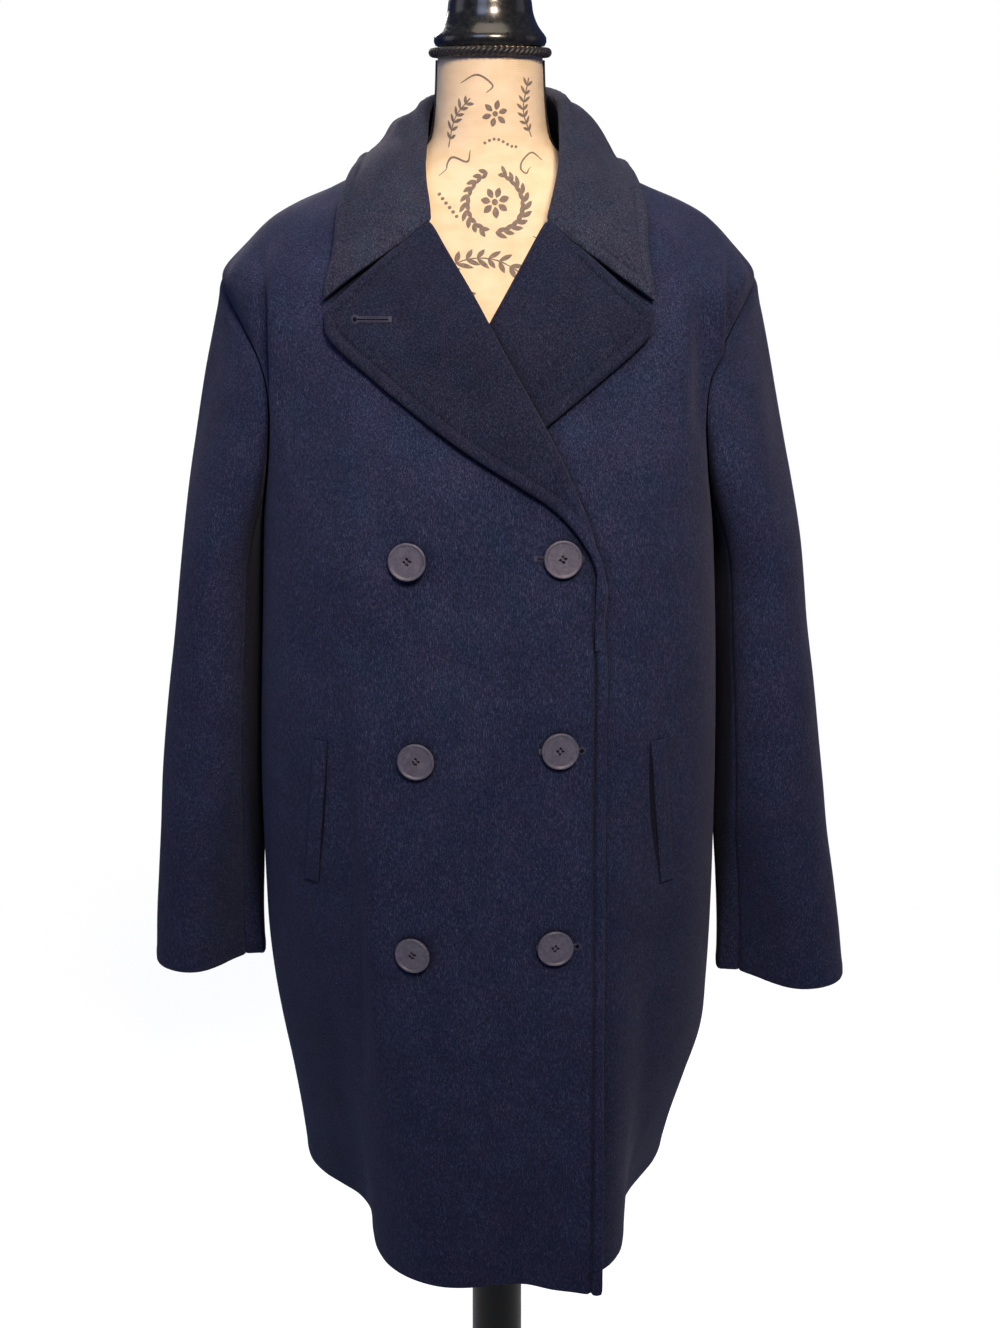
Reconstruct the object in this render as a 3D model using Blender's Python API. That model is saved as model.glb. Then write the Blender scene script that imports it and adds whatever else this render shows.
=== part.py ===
"""Double-breasted wool pea coat, worn by a limbless dress form on a turned stand.

Metres, +Z up, the wearer faces -Y, origin on the floor under the middle of the stand.
The coat's cloth is a thin wall. Its body is a polar surface: sections through the coat give
the radius at each turn about the coat's middle, folds take some of it away, and each panel
is a patch of that surface with its real seams as its edges.
"""

import math
from collections import namedtuple

import bpy
from mathutils import Vector

# ------------------------------------------------------------------ driving dimensions
COAT_X = -0.006  # the coat's centre line hangs a little to the wearer's right
WALL = 0.0024  # melton wool of the body and sleeves
LAYER = 0.0018  # each of the two layers in the collar and the lapels
SEAM = 0.0003  # pieces stay this far apart at a seam
REST = 0.0005  # a piece that lies on another

HEM_Z = 0.470
ARMPIT_Z = 1.105
SHOULDER_Z = 1.318  # shoulder seam at the armhole
NECK_Z = 1.417  # shoulder seam at the neck
BREAK_Z = 1.085  # where the front edge starts to roll
EDGE_TURN = 0.014  # height over which it turns into the roll
SIDE_TURN = 93.0  # side seams, degrees from the centre front
ROLL_RADIUS = 0.0051  # outer radius of the roll of lapel and collar
LEAF_LIFT = 0.0058  # visible face of a lapel or collar edge above the cloth below it

FRONT_EDGE = 0.0925  # free edge past the centre front
EDGE_KICK = 0.034  # the right front's lower corner swings out by this much
BUTTON_DIAMETER = 0.030
BUTTON_THICKNESS = 0.0040
BUTTON_SEGMENTS = 16
HOLE_RADIUS, HOLE_REACH, HOLE_SIDES = 0.00105, 0.00165, 6

SIDE_ROWS, ARMHOLE_ROWS = 12, 12
EDGE_ROWS = 13
ROLL_ROWS = SIDE_ROWS + ARMHOLE_ROWS - EDGE_ROWS
SHOULDER_COLUMNS, NECK_COLUMNS = 8, 8
FRONT_COLUMNS = SHOULDER_COLUMNS + NECK_COLUMNS
BACK_NECK_COLUMNS = 6
BACK_COLUMNS = 2 * SHOULDER_COLUMNS + BACK_NECK_COLUMNS
STEP = 1e-3  # for slopes of the body surface

# Horizontal sections of the coat's body. right and left are half widths on the wearer's
# sides, front and back are where the section crosses the middle, middle is where it is
# widest, and square is 2 for an ellipse and more for a boxier section.
Section = namedtuple("Section", "height right left front back middle square")
BODY = (
    Section(0.470, 0.187, 0.178, -0.175, 0.150, 0.060, 2.5),
    Section(0.540, 0.191, 0.189, -0.174, 0.150, 0.045, 2.5),
    Section(0.640, 0.200, 0.207, -0.173, 0.149, 0.025, 2.5),
    Section(0.730, 0.205, 0.206, -0.172, 0.148, 0.010, 2.5),
    Section(0.860, 0.203, 0.201, -0.171, 0.147, 0.000, 2.6),
    Section(1.050, 0.194, 0.193, -0.168, 0.146, -0.005, 2.7),
    Section(1.150, 0.190, 0.188, -0.159, 0.146, -0.005, 2.8),
    Section(1.235, 0.197, 0.195, -0.143, 0.142, 0.000, 2.7),
    Section(1.285, 0.213, 0.211, -0.131, 0.132, 0.000, 2.5),
    Section(1.318, 0.222, 0.221, -0.119, 0.123, 0.002, 2.35),
    Section(1.340, 0.204, 0.204, -0.110, 0.115, 0.004, 2.25),
    Section(1.362, 0.184, 0.186, -0.101, 0.107, 0.006, 2.15),
    Section(1.380, 0.153, 0.155, -0.092, 0.100, 0.008, 2.1),
    Section(1.394, 0.117, 0.119, -0.084, 0.094, 0.010, 2.1),
    Section(1.417, 0.074, 0.075, -0.066, 0.082, 0.012, 2.1),
    Section(1.436, 0.062, 0.063, -0.052, 0.074, 0.012, 2.1),
)

# Folds of the hanging skirt: turn from the centre front (minus is the wearer's right),
# depth at the hem, height where it starts, how it grows, and its spread to either side.
Fold = namedtuple("Fold", "turn depth start growth to_front to_back")
FOLDS = (
    Fold(-46.5, 0.073, 1.00, 1.5, 15.5, 22.0),
    Fold(50.0, 0.051, 1.00, 1.5, 11.5, 26.0),
    Fold(6.0, 0.013, 0.78, 1.4, 7.0, 7.0),
    Fold(-152.0, 0.020, 1.05, 1.3, 11.0, 11.0),
    Fold(144.0, 0.016, 0.98, 1.3, 12.0, 12.0),
)

# Front armhole and back armhole from the shoulder down to the armpit
Mark = namedtuple("Mark", "turn height")
ARMHOLE_FRONT = (
    Mark(90.0, SHOULDER_Z),
    Mark(75.5, 1.281),
    Mark(67.0, 1.238),
    Mark(66.5, 1.190),
    Mark(75.0, 1.135),
    Mark(SIDE_TURN, ARMPIT_Z),
)
ARMHOLE_BACK = (
    Mark(90.0, SHOULDER_Z),
    Mark(104.0, 1.283),
    Mark(112.0, 1.240),
    Mark(113.0, 1.190),
    Mark(107.0, 1.135),
    Mark(SIDE_TURN, ARMPIT_Z),
)
NECKLINE_FRONT = (Mark(90.0, NECK_Z), Mark(68.0, 1.413), Mark(49.0, 1.403), Mark(34.0, 1.384))
NECKLINE_BACK = (Mark(90.0, NECK_Z), Mark(135.0, 1.432), Mark(180.0, 1.436))

# The left front as seen from in front: x from the coat's centre line towards the front
# edge, and height. The right front is its mirror image.
Spot = namedtuple("Spot", "x height")
ROLL_LINE = (
    Spot(-0.0925, BREAK_Z),
    Spot(-0.0760, 1.139),
    Spot(-0.0440, 1.207),
    Spot(-0.0010, 1.283),
    Spot(0.0440, 1.362),
)
LAPEL_EDGE = (
    Spot(-0.0830, 1.0975),
    Spot(-0.0745, 1.1180),
    Spot(-0.0486, 1.1490),
    Spot(0.0260, 1.1965),
    Spot(0.1003, 1.2556),
    Spot(0.1235, 1.277),
    Spot(0.1265, 1.294),
)
NOTCH = 0.27  # share of the lapel's top edge that is sewn to the collar
NOTCH_OPENS = 0.0095  # and from there to the corners the two part this far

# The collar: at a row of the neckline counted from the centre back, the top of its fold,
# its outer edge, and how far its leaf bows up between the two. Its front end follows the
# lapel's top edge.
Station = namedtuple("Station", "row fold edge bow_left bow_right")
COLLAR = (
    Station(0.0, (0.000, 0.070, 1.4700), (0.000, 0.126, 1.392), 0.005, 0.005),
    Station(1.5, (0.037, 0.055, 1.4680), (0.074, 0.096, 1.396), 0.004, 0.002),
    Station(3.0, (0.0555, 0.008, 1.4600), (0.104, 0.010, 1.400), 0.003, -0.003),
    Station(5.0, (0.0570, -0.029, 1.4370), (0.1070, -0.036, 1.381), 0.003, 0.000),
    Station(7.0, (0.0535, -0.062, 1.4080), (0.1150, -0.070, 1.357), 0.003, 0.002),
    Station(9.0, (0.0480, -0.086, 1.3830), (0.1215, -0.097, 1.331), 0.003, 0.002),
)
COLLAR_LEAN = 0.0045  # the collar sits this far to the wearer's left behind the neck
COLLAR_TILT = 0.004  # and its fold this much lower on the wearer's right

# Sleeve below the armhole: height, and for its outline seen from in front the inner and
# outer side, then its middle and half size from front to back.
Ring = namedtuple("Ring", "height inner outer middle half")
SLEEVE_RIGHT = (
    Ring(1.060, 0.197, 0.2705, 0.012, 0.078),
    Ring(0.960, 0.205, 0.286, 0.010, 0.070),
    Ring(0.860, 0.208, 0.2975, 0.012, 0.062),
    Ring(0.780, 0.208, 0.3035, 0.016, 0.054),
    Ring(0.698, 0.208, 0.308, 0.020, 0.047),
)
SLEEVE_LEFT = (
    Ring(1.060, 0.196, 0.274, 0.010, 0.078),
    Ring(0.960, 0.203, 0.290, 0.006, 0.071),
    Ring(0.860, 0.206, 0.304, 0.004, 0.064),
    Ring(0.780, 0.207, 0.3125, 0.004, 0.057),
    Ring(0.690, 0.208, 0.322, 0.004, 0.050),
)
CUFF_FOLD = 0.020  # how far the inner front of each cuff falls in
SLEEVE_CLEAR = 0.0012  # the sleeves hang this far off the coat's sides at least
SLEEVE_CAP_ROWS, SLEEVE_ROWS = 6, 8
TOP_SLEEVE_FRONT, TOP_SLEEVE_BACK = 9, 7  # columns from its outer line to its two seams

# Buttons on the right front: x from the centre line and height
BUTTONS = {
    "button_right_1": Spot(-0.0620, 1.107),
    "button_left_1": Spot(0.0575, 1.1085),
    "button_right_2": Spot(-0.0575, 0.945),
    "button_left_2": Spot(0.0563, 0.954),
    "button_right_3": Spot(-0.0608, 0.777),
    "button_left_3": Spot(0.0535, 0.785),
}

# Pocket welts: top and bottom of the pocket's mouth, on the wearer's left
WELT_TOP = Spot(0.1315, 0.953)
WELT_BOTTOM = Spot(0.1435, 0.823)
WELT_WIDTH = 0.011
WELT_THICKNESS = 0.0020
WELT_ROWS = 8

# Dress form: half width, front, back, middle from front to back, squareness, and lean of
# the section's middle to the wearer's right.
FormSection = namedtuple("FormSection", "height half front back middle square lean")
FORM = (
    FormSection(0.700, 0.158, -0.100, 0.118, 0.008, 2.2, 0.001),
    FormSection(0.720, 0.163, -0.104, 0.122, 0.008, 2.2, 0.001),
    FormSection(0.820, 0.164, -0.105, 0.120, 0.008, 2.2, 0.001),
    FormSection(0.920, 0.140, -0.098, 0.098, 0.004, 2.2, 0.002),
    FormSection(0.990, 0.122, -0.094, 0.084, 0.000, 2.2, 0.002),
    FormSection(1.080, 0.134, -0.108, 0.088, -0.004, 2.2, 0.003),
    FormSection(1.170, 0.150, -0.126, 0.098, -0.004, 2.2, 0.003),
    FormSection(1.250, 0.158, -0.116, 0.106, 0.000, 2.3, 0.004),
    FormSection(1.310, 0.170, -0.094, 0.102, 0.004, 2.4, 0.004),
    FormSection(1.340, 0.181, -0.080, 0.096, 0.006, 2.4, 0.005),
    FormSection(1.356, 0.183, -0.074, 0.092, 0.007, 2.3, 0.005),
    FormSection(1.375, 0.160, -0.066, 0.085, 0.008, 2.2, 0.005),
    FormSection(1.390, 0.115, -0.059, 0.078, 0.010, 2.1, 0.005),
    FormSection(1.408, 0.066, -0.052, 0.066, 0.008, 2.0, 0.005),
    FormSection(1.430, 0.0475, -0.046, 0.052, 0.003, 2.0, 0.005),
    FormSection(1.460, 0.0440, -0.044, 0.046, 0.001, 2.0, 0.005),
    FormSection(1.498, 0.0425, -0.043, 0.043, 0.000, 2.0, 0.005),
)
FORM_COLUMNS = 28
FORM_SPANS = ((0.700, 1.300, 9), (1.300, 1.425, 13), (1.425, 1.498, 3))  # rows between heights
FORM_REST = 0.0030  # the coat rests this far off the form's shoulders
CORD_HALF = (0.0019, 0.0030)  # half its thickness and half its height
CAP_TOP = 1.556
POST_RADIUS = 0.023
BASE_RADIUS = 0.190
BASE_HEIGHT = 0.030


# ------------------------------------------------------------------ small helpers
def mix(a, b, share):
    return a + (b - a) * share


def ease(start, end, value):
    """0 before start, 1 after end, and a soft step between them."""
    share = min(1.0, max(0.0, (value - start) / (end - start)))
    return share * share * (3.0 - 2.0 * share)


def slopes_of(heights, values):
    """Slopes at the rows of a table that let a curve through them overshoot nothing."""
    spans = [b - a for a, b in zip(heights, heights[1:])]
    rises = [(b - a) / s for a, b, s in zip(values, values[1:], spans)]
    slopes = [rises[0]]
    for before, after, left, right in zip(rises, rises[1:], spans, spans[1:]):
        if before * after <= 0.0:
            slopes.append(0.0)
        else:
            one, two = 2.0 * right + left, right + 2.0 * left
            slopes.append((one + two) / (one / before + two / after))
    return slopes + [rises[-1]]


def table_curve(rows, column):
    """A smooth function of height through one column of a table."""
    heights = [row.height for row in rows]
    values = [getattr(row, column) for row in rows]
    if heights[0] > heights[-1]:
        heights.reverse()
        values.reverse()
    slopes = slopes_of(heights, values)

    def curve(height):
        height = min(heights[-1], max(heights[0], height))
        i = 0
        while i < len(heights) - 2 and height > heights[i + 1]:
            i += 1
        span = heights[i + 1] - heights[i]
        t = (height - heights[i]) / span
        low = (1 + 2 * t) * (1 - t) ** 2 * values[i] + t * (1 - t) ** 2 * span * slopes[i]
        high = t * t * (3 - 2 * t) * values[i + 1] + t * t * (t - 1) * span * slopes[i + 1]
        return low + high

    return curve


def spline(points, share):
    """A point on a smooth curve through the points, share going from 0 to 1."""
    place = share * (len(points) - 1)
    i = min(len(points) - 2, int(place))
    t = place - i
    a, b = Vector(points[i]), Vector(points[i + 1])
    before = Vector(points[i - 1]) if i else a * 2 - b
    after = Vector(points[i + 2]) if i + 2 < len(points) else b * 2 - a
    out, into = (b - before) / 2, (after - a) / 2
    return (
        a * (2 * t**3 - 3 * t**2 + 1)
        + out * (t**3 - 2 * t**2 + t)
        + b * (3 * t**2 - 2 * t**3)
        + into * (t**3 - t**2)
    )


def evenly(curve, cells, samples=160):
    """Points on a curve, spaced evenly along it, as many cells as asked for."""
    points = [curve(k / samples) for k in range(samples + 1)]
    lengths = [0.0]
    for a, b in zip(points, points[1:]):
        lengths.append(lengths[-1] + (b - a).length)
    result, k = [], 0
    for cell in range(cells + 1):
        wanted = lengths[-1] * cell / cells
        while k < samples - 1 and lengths[k + 1] < wanted:
            k += 1
        share = (wanted - lengths[k]) / max(1e-12, lengths[k + 1] - lengths[k])
        result.append(points[k].lerp(points[k + 1], min(1.0, share)))
    return result


# ------------------------------------------------------------------ the coat's body surface
BODY_CURVES = {name: table_curve(BODY, name) for name in Section._fields[1:]}


def fold_depth(turn, height):
    """How far the folds take the cloth in at this place."""
    depth = 0.0
    for fold in FOLDS:
        if height < fold.start:
            outward = 1 if fold.turn > 0 else -1
            away = (turn - fold.turn) * outward
            spread = fold.to_front if away < 0 else fold.to_back
            grown = ((fold.start - height) / (fold.start - HEM_Z)) ** fold.growth
            depth += fold.depth * grown * math.exp(-0.5 * (away / spread) ** 2)
    return depth


def body_point(turn, height):
    """The outer face of the coat's body: turn in degrees from the centre front, plus is
    the wearer's left."""
    at = {name: curve(height) for name, curve in BODY_CURVES.items()}
    turn = (turn + 180.0) % 360.0 - 180.0
    sine, cosine = math.sin(math.radians(turn)), math.cos(math.radians(turn))
    wide = at["left"] if turn > 0 else at["right"]
    deep = at["middle"] - at["front"] if cosine > 0 else at["back"] - at["middle"]
    power = at["square"]
    radius = ((abs(sine) / wide) ** power + (abs(cosine) / deep) ** power) ** (-1.0 / power)
    radius -= fold_depth(turn, height)
    return Vector((COAT_X + radius * sine, at["middle"] - radius * cosine, height))


def body_normal(turn, height):
    across = body_point(turn + 0.5, height) - body_point(turn - 0.5, height)
    upward = body_point(turn, height + STEP) - body_point(turn, height - STEP)
    return across.cross(upward).normalized()


def mirrored(point):
    return Vector((2 * COAT_X - point.x, point.y, point.z))


def own_point(side, turn, height):
    """A point of either half of the body as it would lie on the wearer's left."""
    point = body_point(side * turn, height)
    return point if side > 0 else mirrored(point)


def turn_of(point):
    """The turn about the coat's middle at which a point lies."""
    middle = BODY_CURVES["middle"](point.z)
    return math.degrees(math.atan2(point.x - COAT_X, middle - point.y))


def front_turn(x, height):
    """The turn at which the front of the coat has this x from its centre line."""
    low, high = -80.0, 80.0
    for _ in range(40):
        turn = (low + high) / 2
        if body_point(turn, height).x - COAT_X < x:
            low = turn
        else:
            high = turn
    return (low + high) / 2


def lift_of(point):
    """How far a point stands off the body's outer face, and the direction out of it."""
    turn = turn_of(point)
    normal = body_normal(turn, point.z)
    return (point - body_point(turn, point.z)).dot(normal), normal


def pushed_clear(point, least):
    """The point, moved out along the body's normal until it stands off at least this far."""
    for _ in range(4):
        lift, normal = lift_of(point)
        if lift >= least:
            break
        point = point + normal * (least - lift)
    return point


def kept_inside(point, most):
    """The point, moved in along the body's normal until its lift is no more than this."""
    for _ in range(4):
        lift, normal = lift_of(point)
        if lift <= most:
            break
        point = point - normal * (lift - most)
    return point


# ------------------------------------------------------------------ lapel and overlap shapes
ROLL_POINTS = [(spot.x, spot.height, 0.0) for spot in ROLL_LINE]
LAPEL_POINTS = [(spot.x, spot.height, 0.0) for spot in LAPEL_EDGE]
CLOTH_IN_LEAF = 2 * LAYER + SEAM
ROLL_TOP = 2 * ROLL_RADIUS - CLOTH_IN_LEAF  # visible face at the roll, above the panel
OVER_FRONT = WALL + 0.0024  # the right front over the left front
OVER_LAPEL = ROLL_TOP + CLOTH_IN_LEAF + 0.0012  # and over the left lapel's roll


def roll_x(height):
    """x of the left front's roll line at a height, below the collar."""
    low, high = 0.0, 1.0
    for _ in range(30):
        share = (low + high) / 2
        if spline(ROLL_POINTS, share).y < height:
            low = share
        else:
            high = share
    return spline(ROLL_POINTS, low).x


def lapel_low(x):
    """Height of the left lapel's lower edge at an x."""
    rows = LAPEL_EDGE[:5]
    for a, b in zip(rows, rows[1:]):
        if x <= b.x:
            return mix(a.height, b.height, max(0.0, (x - a.x) / (b.x - a.x)))
    return rows[-1].height


def overlap_lift(x, height):
    """How far the right front's outer face stands off where it laps over the left front."""
    over_front = OVER_FRONT * ease(-0.135, -0.100, x) * ease(1.365, 1.300, height)
    across = ease(-0.075, -0.012, x - roll_x(height))
    above = ease(-0.078, -0.012, height - lapel_low(x))
    lapel = (OVER_LAPEL - OVER_FRONT) * across * above * ease(1.345, 1.300, height)
    return over_front + lapel + edge_kick(x, height)


def edge_kick(x, height):
    """How far the right front's lower corner swings out."""
    share = max(0.0, (x - 0.02) / (FRONT_EDGE - 0.02))
    return EDGE_KICK * share * share * ease(0.68, HEM_Z - 0.01, height)


def base_lift(side, x, height):
    """Outer face of a front: the left one is the body surface, the right one laps over."""
    return overlap_lift(x, height) if side < 0 else 0.0


def panel_edge_x(height):
    """x of the left front's own free edge: the front edge, then just short of the roll."""
    return roll_x(height) + ROLL_RADIUS * ease(BREAK_Z - EDGE_TURN, BREAK_Z, height)


# ------------------------------------------------------------------ grids and walls
def coons(bottom, top, start, end):
    """A grid of points between four edges given as lists: rows from bottom to top."""
    columns, rows = len(bottom) - 1, len(start) - 1
    grid = []
    for j in range(rows + 1):
        v = j / rows
        row = []
        for i in range(columns + 1):
            u = i / columns
            ruled = bottom[i] * (1 - v) + top[i] * v + start[j] * (1 - u) + end[j] * u
            corners = (bottom[0] * (1 - u) + bottom[-1] * u) * (1 - v)
            corners += (top[0] * (1 - u) + top[-1] * u) * v
            row.append(ruled - corners)
        grid.append(row)
    return grid


def wall_object(name, outer, inner, material):
    """A closed wall between two grids of the same shape."""
    rows, columns = len(outer), len(outer[0])
    points = [p for row in outer for p in row] + [p for row in inner for p in row]
    half = rows * columns
    faces = []
    for j in range(rows - 1):
        for i in range(columns - 1):
            a = j * columns + i
            b = a + columns
            faces.append((a, a + 1, b + 1, b))
            faces.append((half + a, half + b, half + b + 1, half + a + 1))
    for i in range(columns - 1):
        a, b = i, (rows - 1) * columns + i
        faces.append((a, half + a, half + a + 1, a + 1))
        faces.append((b, b + 1, half + b + 1, half + b))
    for j in range(rows - 1):
        a, b = j * columns, j * columns + columns - 1
        faces.append((a, a + columns, half + a + columns, half + a))
        faces.append((b, half + b, half + b + columns, b + columns))
    return mesh_object(name, points, faces, material)


def mesh_object(name, points, faces, material):
    mesh = bpy.data.meshes.new(name)
    mesh.from_pydata([tuple(p) for p in points], [], faces)
    mesh.update()
    if signed_volume(mesh) < 0:
        mesh.flip_normals()
    mesh.shade_smooth()
    mesh.set_sharp_from_angle(angle=math.radians(40))
    mesh.materials.append(material)
    piece = bpy.data.objects.new(name, mesh)
    bpy.context.scene.collection.objects.link(piece)
    return piece


def signed_volume(mesh):
    mesh.calc_loop_triangles()
    total = 0.0
    for triangle in mesh.loop_triangles:
        a, b, c = (mesh.vertices[i].co for i in triangle.vertices)
        total += a.dot(b.cross(c))
    return total


def grid_normals(grid, closed=False):
    """The direction across a grid at each of its points."""
    rows, columns = len(grid), len(grid[0])
    normals = []
    for j in range(rows):
        row = []
        for i in range(columns):
            if closed:
                across = grid[j][(i + 1) % columns] - grid[j][i - 1]
            else:
                across = grid[j][min(columns - 1, i + 1)] - grid[j][max(0, i - 1)]
            upward = grid[min(rows - 1, j + 1)][i] - grid[max(0, j - 1)][i]
            row.append(across.cross(upward).normalized())
        normals.append(row)
    return normals


def shifted(grid, normals, distance):
    return [
        [p + n * distance for p, n in zip(points, directions)]
        for points, directions in zip(grid, normals)
    ]


# ------------------------------------------------------------------ panels
def seam_turn(turn, height, towards):
    """A seam's turn, moved half a seam's gap towards one panel."""
    place = body_point(turn, height)
    radius = math.hypot(place.x - COAT_X, place.y - BODY_CURVES["middle"](height))
    return turn + towards * math.degrees(0.6 * SEAM / radius)


def marked_points(side, marks, cells):
    """Points spaced evenly along a line given by its marks."""
    corners = [(mark.turn, mark.height, 0.0) for mark in marks]

    def place(share):
        spot = spline(corners, share)
        return own_point(side, spot.x, spot.y)

    return evenly(place, cells)


def side_points(side, towards):
    heights = [mix(HEM_Z, ARMPIT_Z, k / SIDE_ROWS) for k in range(SIDE_ROWS + 1)]
    return [own_point(side, seam_turn(SIDE_TURN, z, towards), z) for z in heights]


def shoulder_points(side, towards):
    """A shoulder seam from the armhole up to the neck."""
    line = evenly(
        lambda share: own_point(side, 90.0, mix(SHOULDER_Z, NECK_Z, share)), SHOULDER_COLUMNS
    )
    return [own_point(side, seam_turn(90.0, p.z, towards), p.z) for p in line]


def lower_rows(side, starts, ends):
    """Rows of a front below the armpit, from its side seam to its free edge."""
    rows = []
    for first, last in zip(starts, ends):
        a, b = turn_of(first), turn_of(last)
        rows.append(
            evenly(
                lambda s: own_point(side, mix(a, b, s), mix(first.z, last.z, s)), FRONT_COLUMNS
            )
        )
    return rows


def front_patch(side):
    """A front before it is lifted: from the side seam to the free edge, as on the left."""
    armhole = marked_points(side, ARMHOLE_FRONT, ARMHOLE_ROWS)[::-1]
    shoulder = shoulder_points(side, -1)
    start = side_points(side, -1) + armhole[1:-1] + [shoulder[0]]
    gorge_z = ROLL_LINE[-1].height

    def edge(height):
        x = panel_edge_x(height)
        if side < 0:
            x += 0.3 * edge_kick(-x, height)
        return own_point(side, side * front_turn(side * x, height), height)

    straight = EDGE_ROWS - 1
    free = [edge(mix(HEM_Z, BREAK_Z - EDGE_TURN, k / straight)) for k in range(EDGE_ROWS)]
    free += [edge(mix(BREAK_Z, gorge_z, k / ROLL_ROWS)) for k in range(ROLL_ROWS + 1)]
    neck_marks = NECKLINE_FRONT + (Mark(turn_of(free[-1]), gorge_z),)
    neck = marked_points(side, neck_marks, NECK_COLUMNS)
    lower = lower_rows(side, start[: SIDE_ROWS + 1], free[: SIDE_ROWS + 1])
    upper = coons(lower[-1], shoulder + neck[1:], start[SIDE_ROWS:], free[SIDE_ROWS:])
    return lower + upper[1:]


def back_patch():
    """The back from the left side seam round to the right one."""
    halves = []
    for side in (1, -1):
        armhole = marked_points(side, ARMHOLE_BACK, ARMHOLE_ROWS)[::-1]
        shoulder = shoulder_points(side, 1)
        start = side_points(side, 1) + armhole[1:-1] + [shoulder[0]]
        neck = marked_points(side, NECKLINE_BACK, BACK_NECK_COLUMNS // 2)
        halves.append((start, shoulder + neck[1:]))
    (left, left_top), (right, right_top) = halves
    right = [mirrored(p) for p in right]
    top = left_top + [mirrored(p) for p in right_top[-2::-1]]
    lower = []
    for first, last in zip(left[: SIDE_ROWS + 1], right[: SIDE_ROWS + 1]):
        a, b = turn_of(first), turn_of(last) + 360.0
        lower.append(evenly(lambda s: body_point(mix(a, b, s), first.z), BACK_COLUMNS))
    upper = coons(lower[-1], top, left[SIDE_ROWS:], right[SIDE_ROWS:])
    return lower + upper[1:]


def laid(grid, side, lift):
    """A patch laid on its own half of the body and lifted, with the directions out of it."""
    result, normals = [], []
    for row in grid:
        points, directions = [], []
        for point in row:
            turn = side * turn_of(point)
            place = body_point(turn, point.z)
            normal = body_normal(turn, point.z)
            points.append(place + normal * lift(place.x - COAT_X, point.z))
            directions.append(normal)
        result.append(points)
        normals.append(directions)
    return result, normals


def build_body(material):
    """The three panels, and for the lapels and the collar the fronts' and back's grids."""
    grids = {}
    for name, side in (("front_left", 1), ("front_right", -1)):
        outer, normals = laid(front_patch(side), side, lambda x, z: base_lift(side, x, z))
        wall_object(name, outer, shifted(outer, normals, -WALL), material)
        grids[side] = (outer, normals)
    outer, normals = laid(back_patch(), 1, lambda x, z: 0.0)
    wall_object("back", outer, shifted(outer, normals, -WALL), material)
    grids[0] = (outer, normals)
    return grids


# ------------------------------------------------------------------ lapels
LEAF_COLUMNS = 6
ROLL_STEPS = 4


def roll_points(middle, past, outward):
    """Points round a roll of cloth from its under side to its top, and the directions from
    them to its middle. past leads over the roll and outward up to its top."""
    points, inward = [], []
    for k in range(ROLL_STEPS + 1):
        angle = math.pi * k / ROLL_STEPS
        direction = past * math.sin(angle) - outward * math.cos(angle)
        points.append(middle + direction * ROLL_RADIUS)
        inward.append(-direction)
    return points, inward


def on_front(side, x, height, lift):
    """A point at this lift off a front, its x given as on the left one."""
    x = side * x
    turn = front_turn(x, height)
    total = base_lift(side, x, height) + lift
    return body_point(turn, height) + body_normal(turn, height) * total


def lapel_grid(side, panel):
    """The visible face of a lapel and the directions through its cloth: rows from the break
    up to the gorge, columns from the panel's free edge round the roll to the lapel's edge."""
    outer, normals = panel
    first = EDGE_ROWS
    finely = evenly(lambda share: spline(LAPEL_POINTS, share), 200)
    edge_spots = []
    for j in range(ROLL_ROWS + 1):
        share = j / ROLL_ROWS
        # the spots crowd together at both ends
        edge_spots.append(finely[round(200 * (share - 0.065 * math.sin(2 * math.pi * share)))])
    grid, through = [], []
    for j in range(ROLL_ROWS + 1):
        row = first + j
        corner, outward = outer[row][-1], normals[row][-1]
        along = (outer[min(row + 1, first + ROLL_ROWS)][-1] - outer[row - 1][-1]).normalized()
        past = along.cross(outward).normalized()
        past = past if past.x * side < 0 else -past
        foot = corner + past * (1.4 * SEAM)
        if j == 0:
            foot = foot + along * 0.002
        if j == ROLL_ROWS:
            foot = foot - along * SEAM
        points, inward = roll_points(foot + outward * (ROLL_RADIUS - CLOTH_IN_LEAF), past, outward)
        beneath = base_lift(side, corner.x - COAT_X, corner.z)
        start = points[-1] - outward * (ROLL_TOP + beneath)
        start_x, start_z = side * (start.x - COAT_X), start.z
        spot = edge_spots[j]
        for i in range(1, LEAF_COLUMNS + 1):
            part = i / LEAF_COLUMNS
            lift = mix(ROLL_TOP, LEAF_LIFT, ease(0.0, 0.8, part))
            x, height = mix(start_x, spot.x, part), mix(start_z, spot.y, part)
            points.append(on_front(side, x, height, lift))
            inward.append(-body_normal(front_turn(side * x, height), height))
        grid.append(points)
        through.append(inward)
    return grid, through


def two_layers(names, grid, through, material):
    """Two layers of cloth under a visible face, a seam's gap between them."""
    depths = (0.0, LAYER, LAYER + SEAM, CLOTH_IN_LEAF)
    faces = [shifted(grid, through, depth) for depth in depths]
    wall_object(names[0], faces[0], faces[1], material)
    wall_object(names[1], faces[2], faces[3], material)


def build_lapels(grids, material):
    """Both lapels; gives their visible faces for the collar to meet."""
    faces = {}
    for word, side in (("left", 1), ("right", -1)):
        faces[side] = lapel_grid(side, grids[side])
        two_layers((f"facing_{word}", f"lapel_{word}"), *faces[side], material)
    return faces


# ------------------------------------------------------------------ collar
STAND_CELLS = 2


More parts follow.
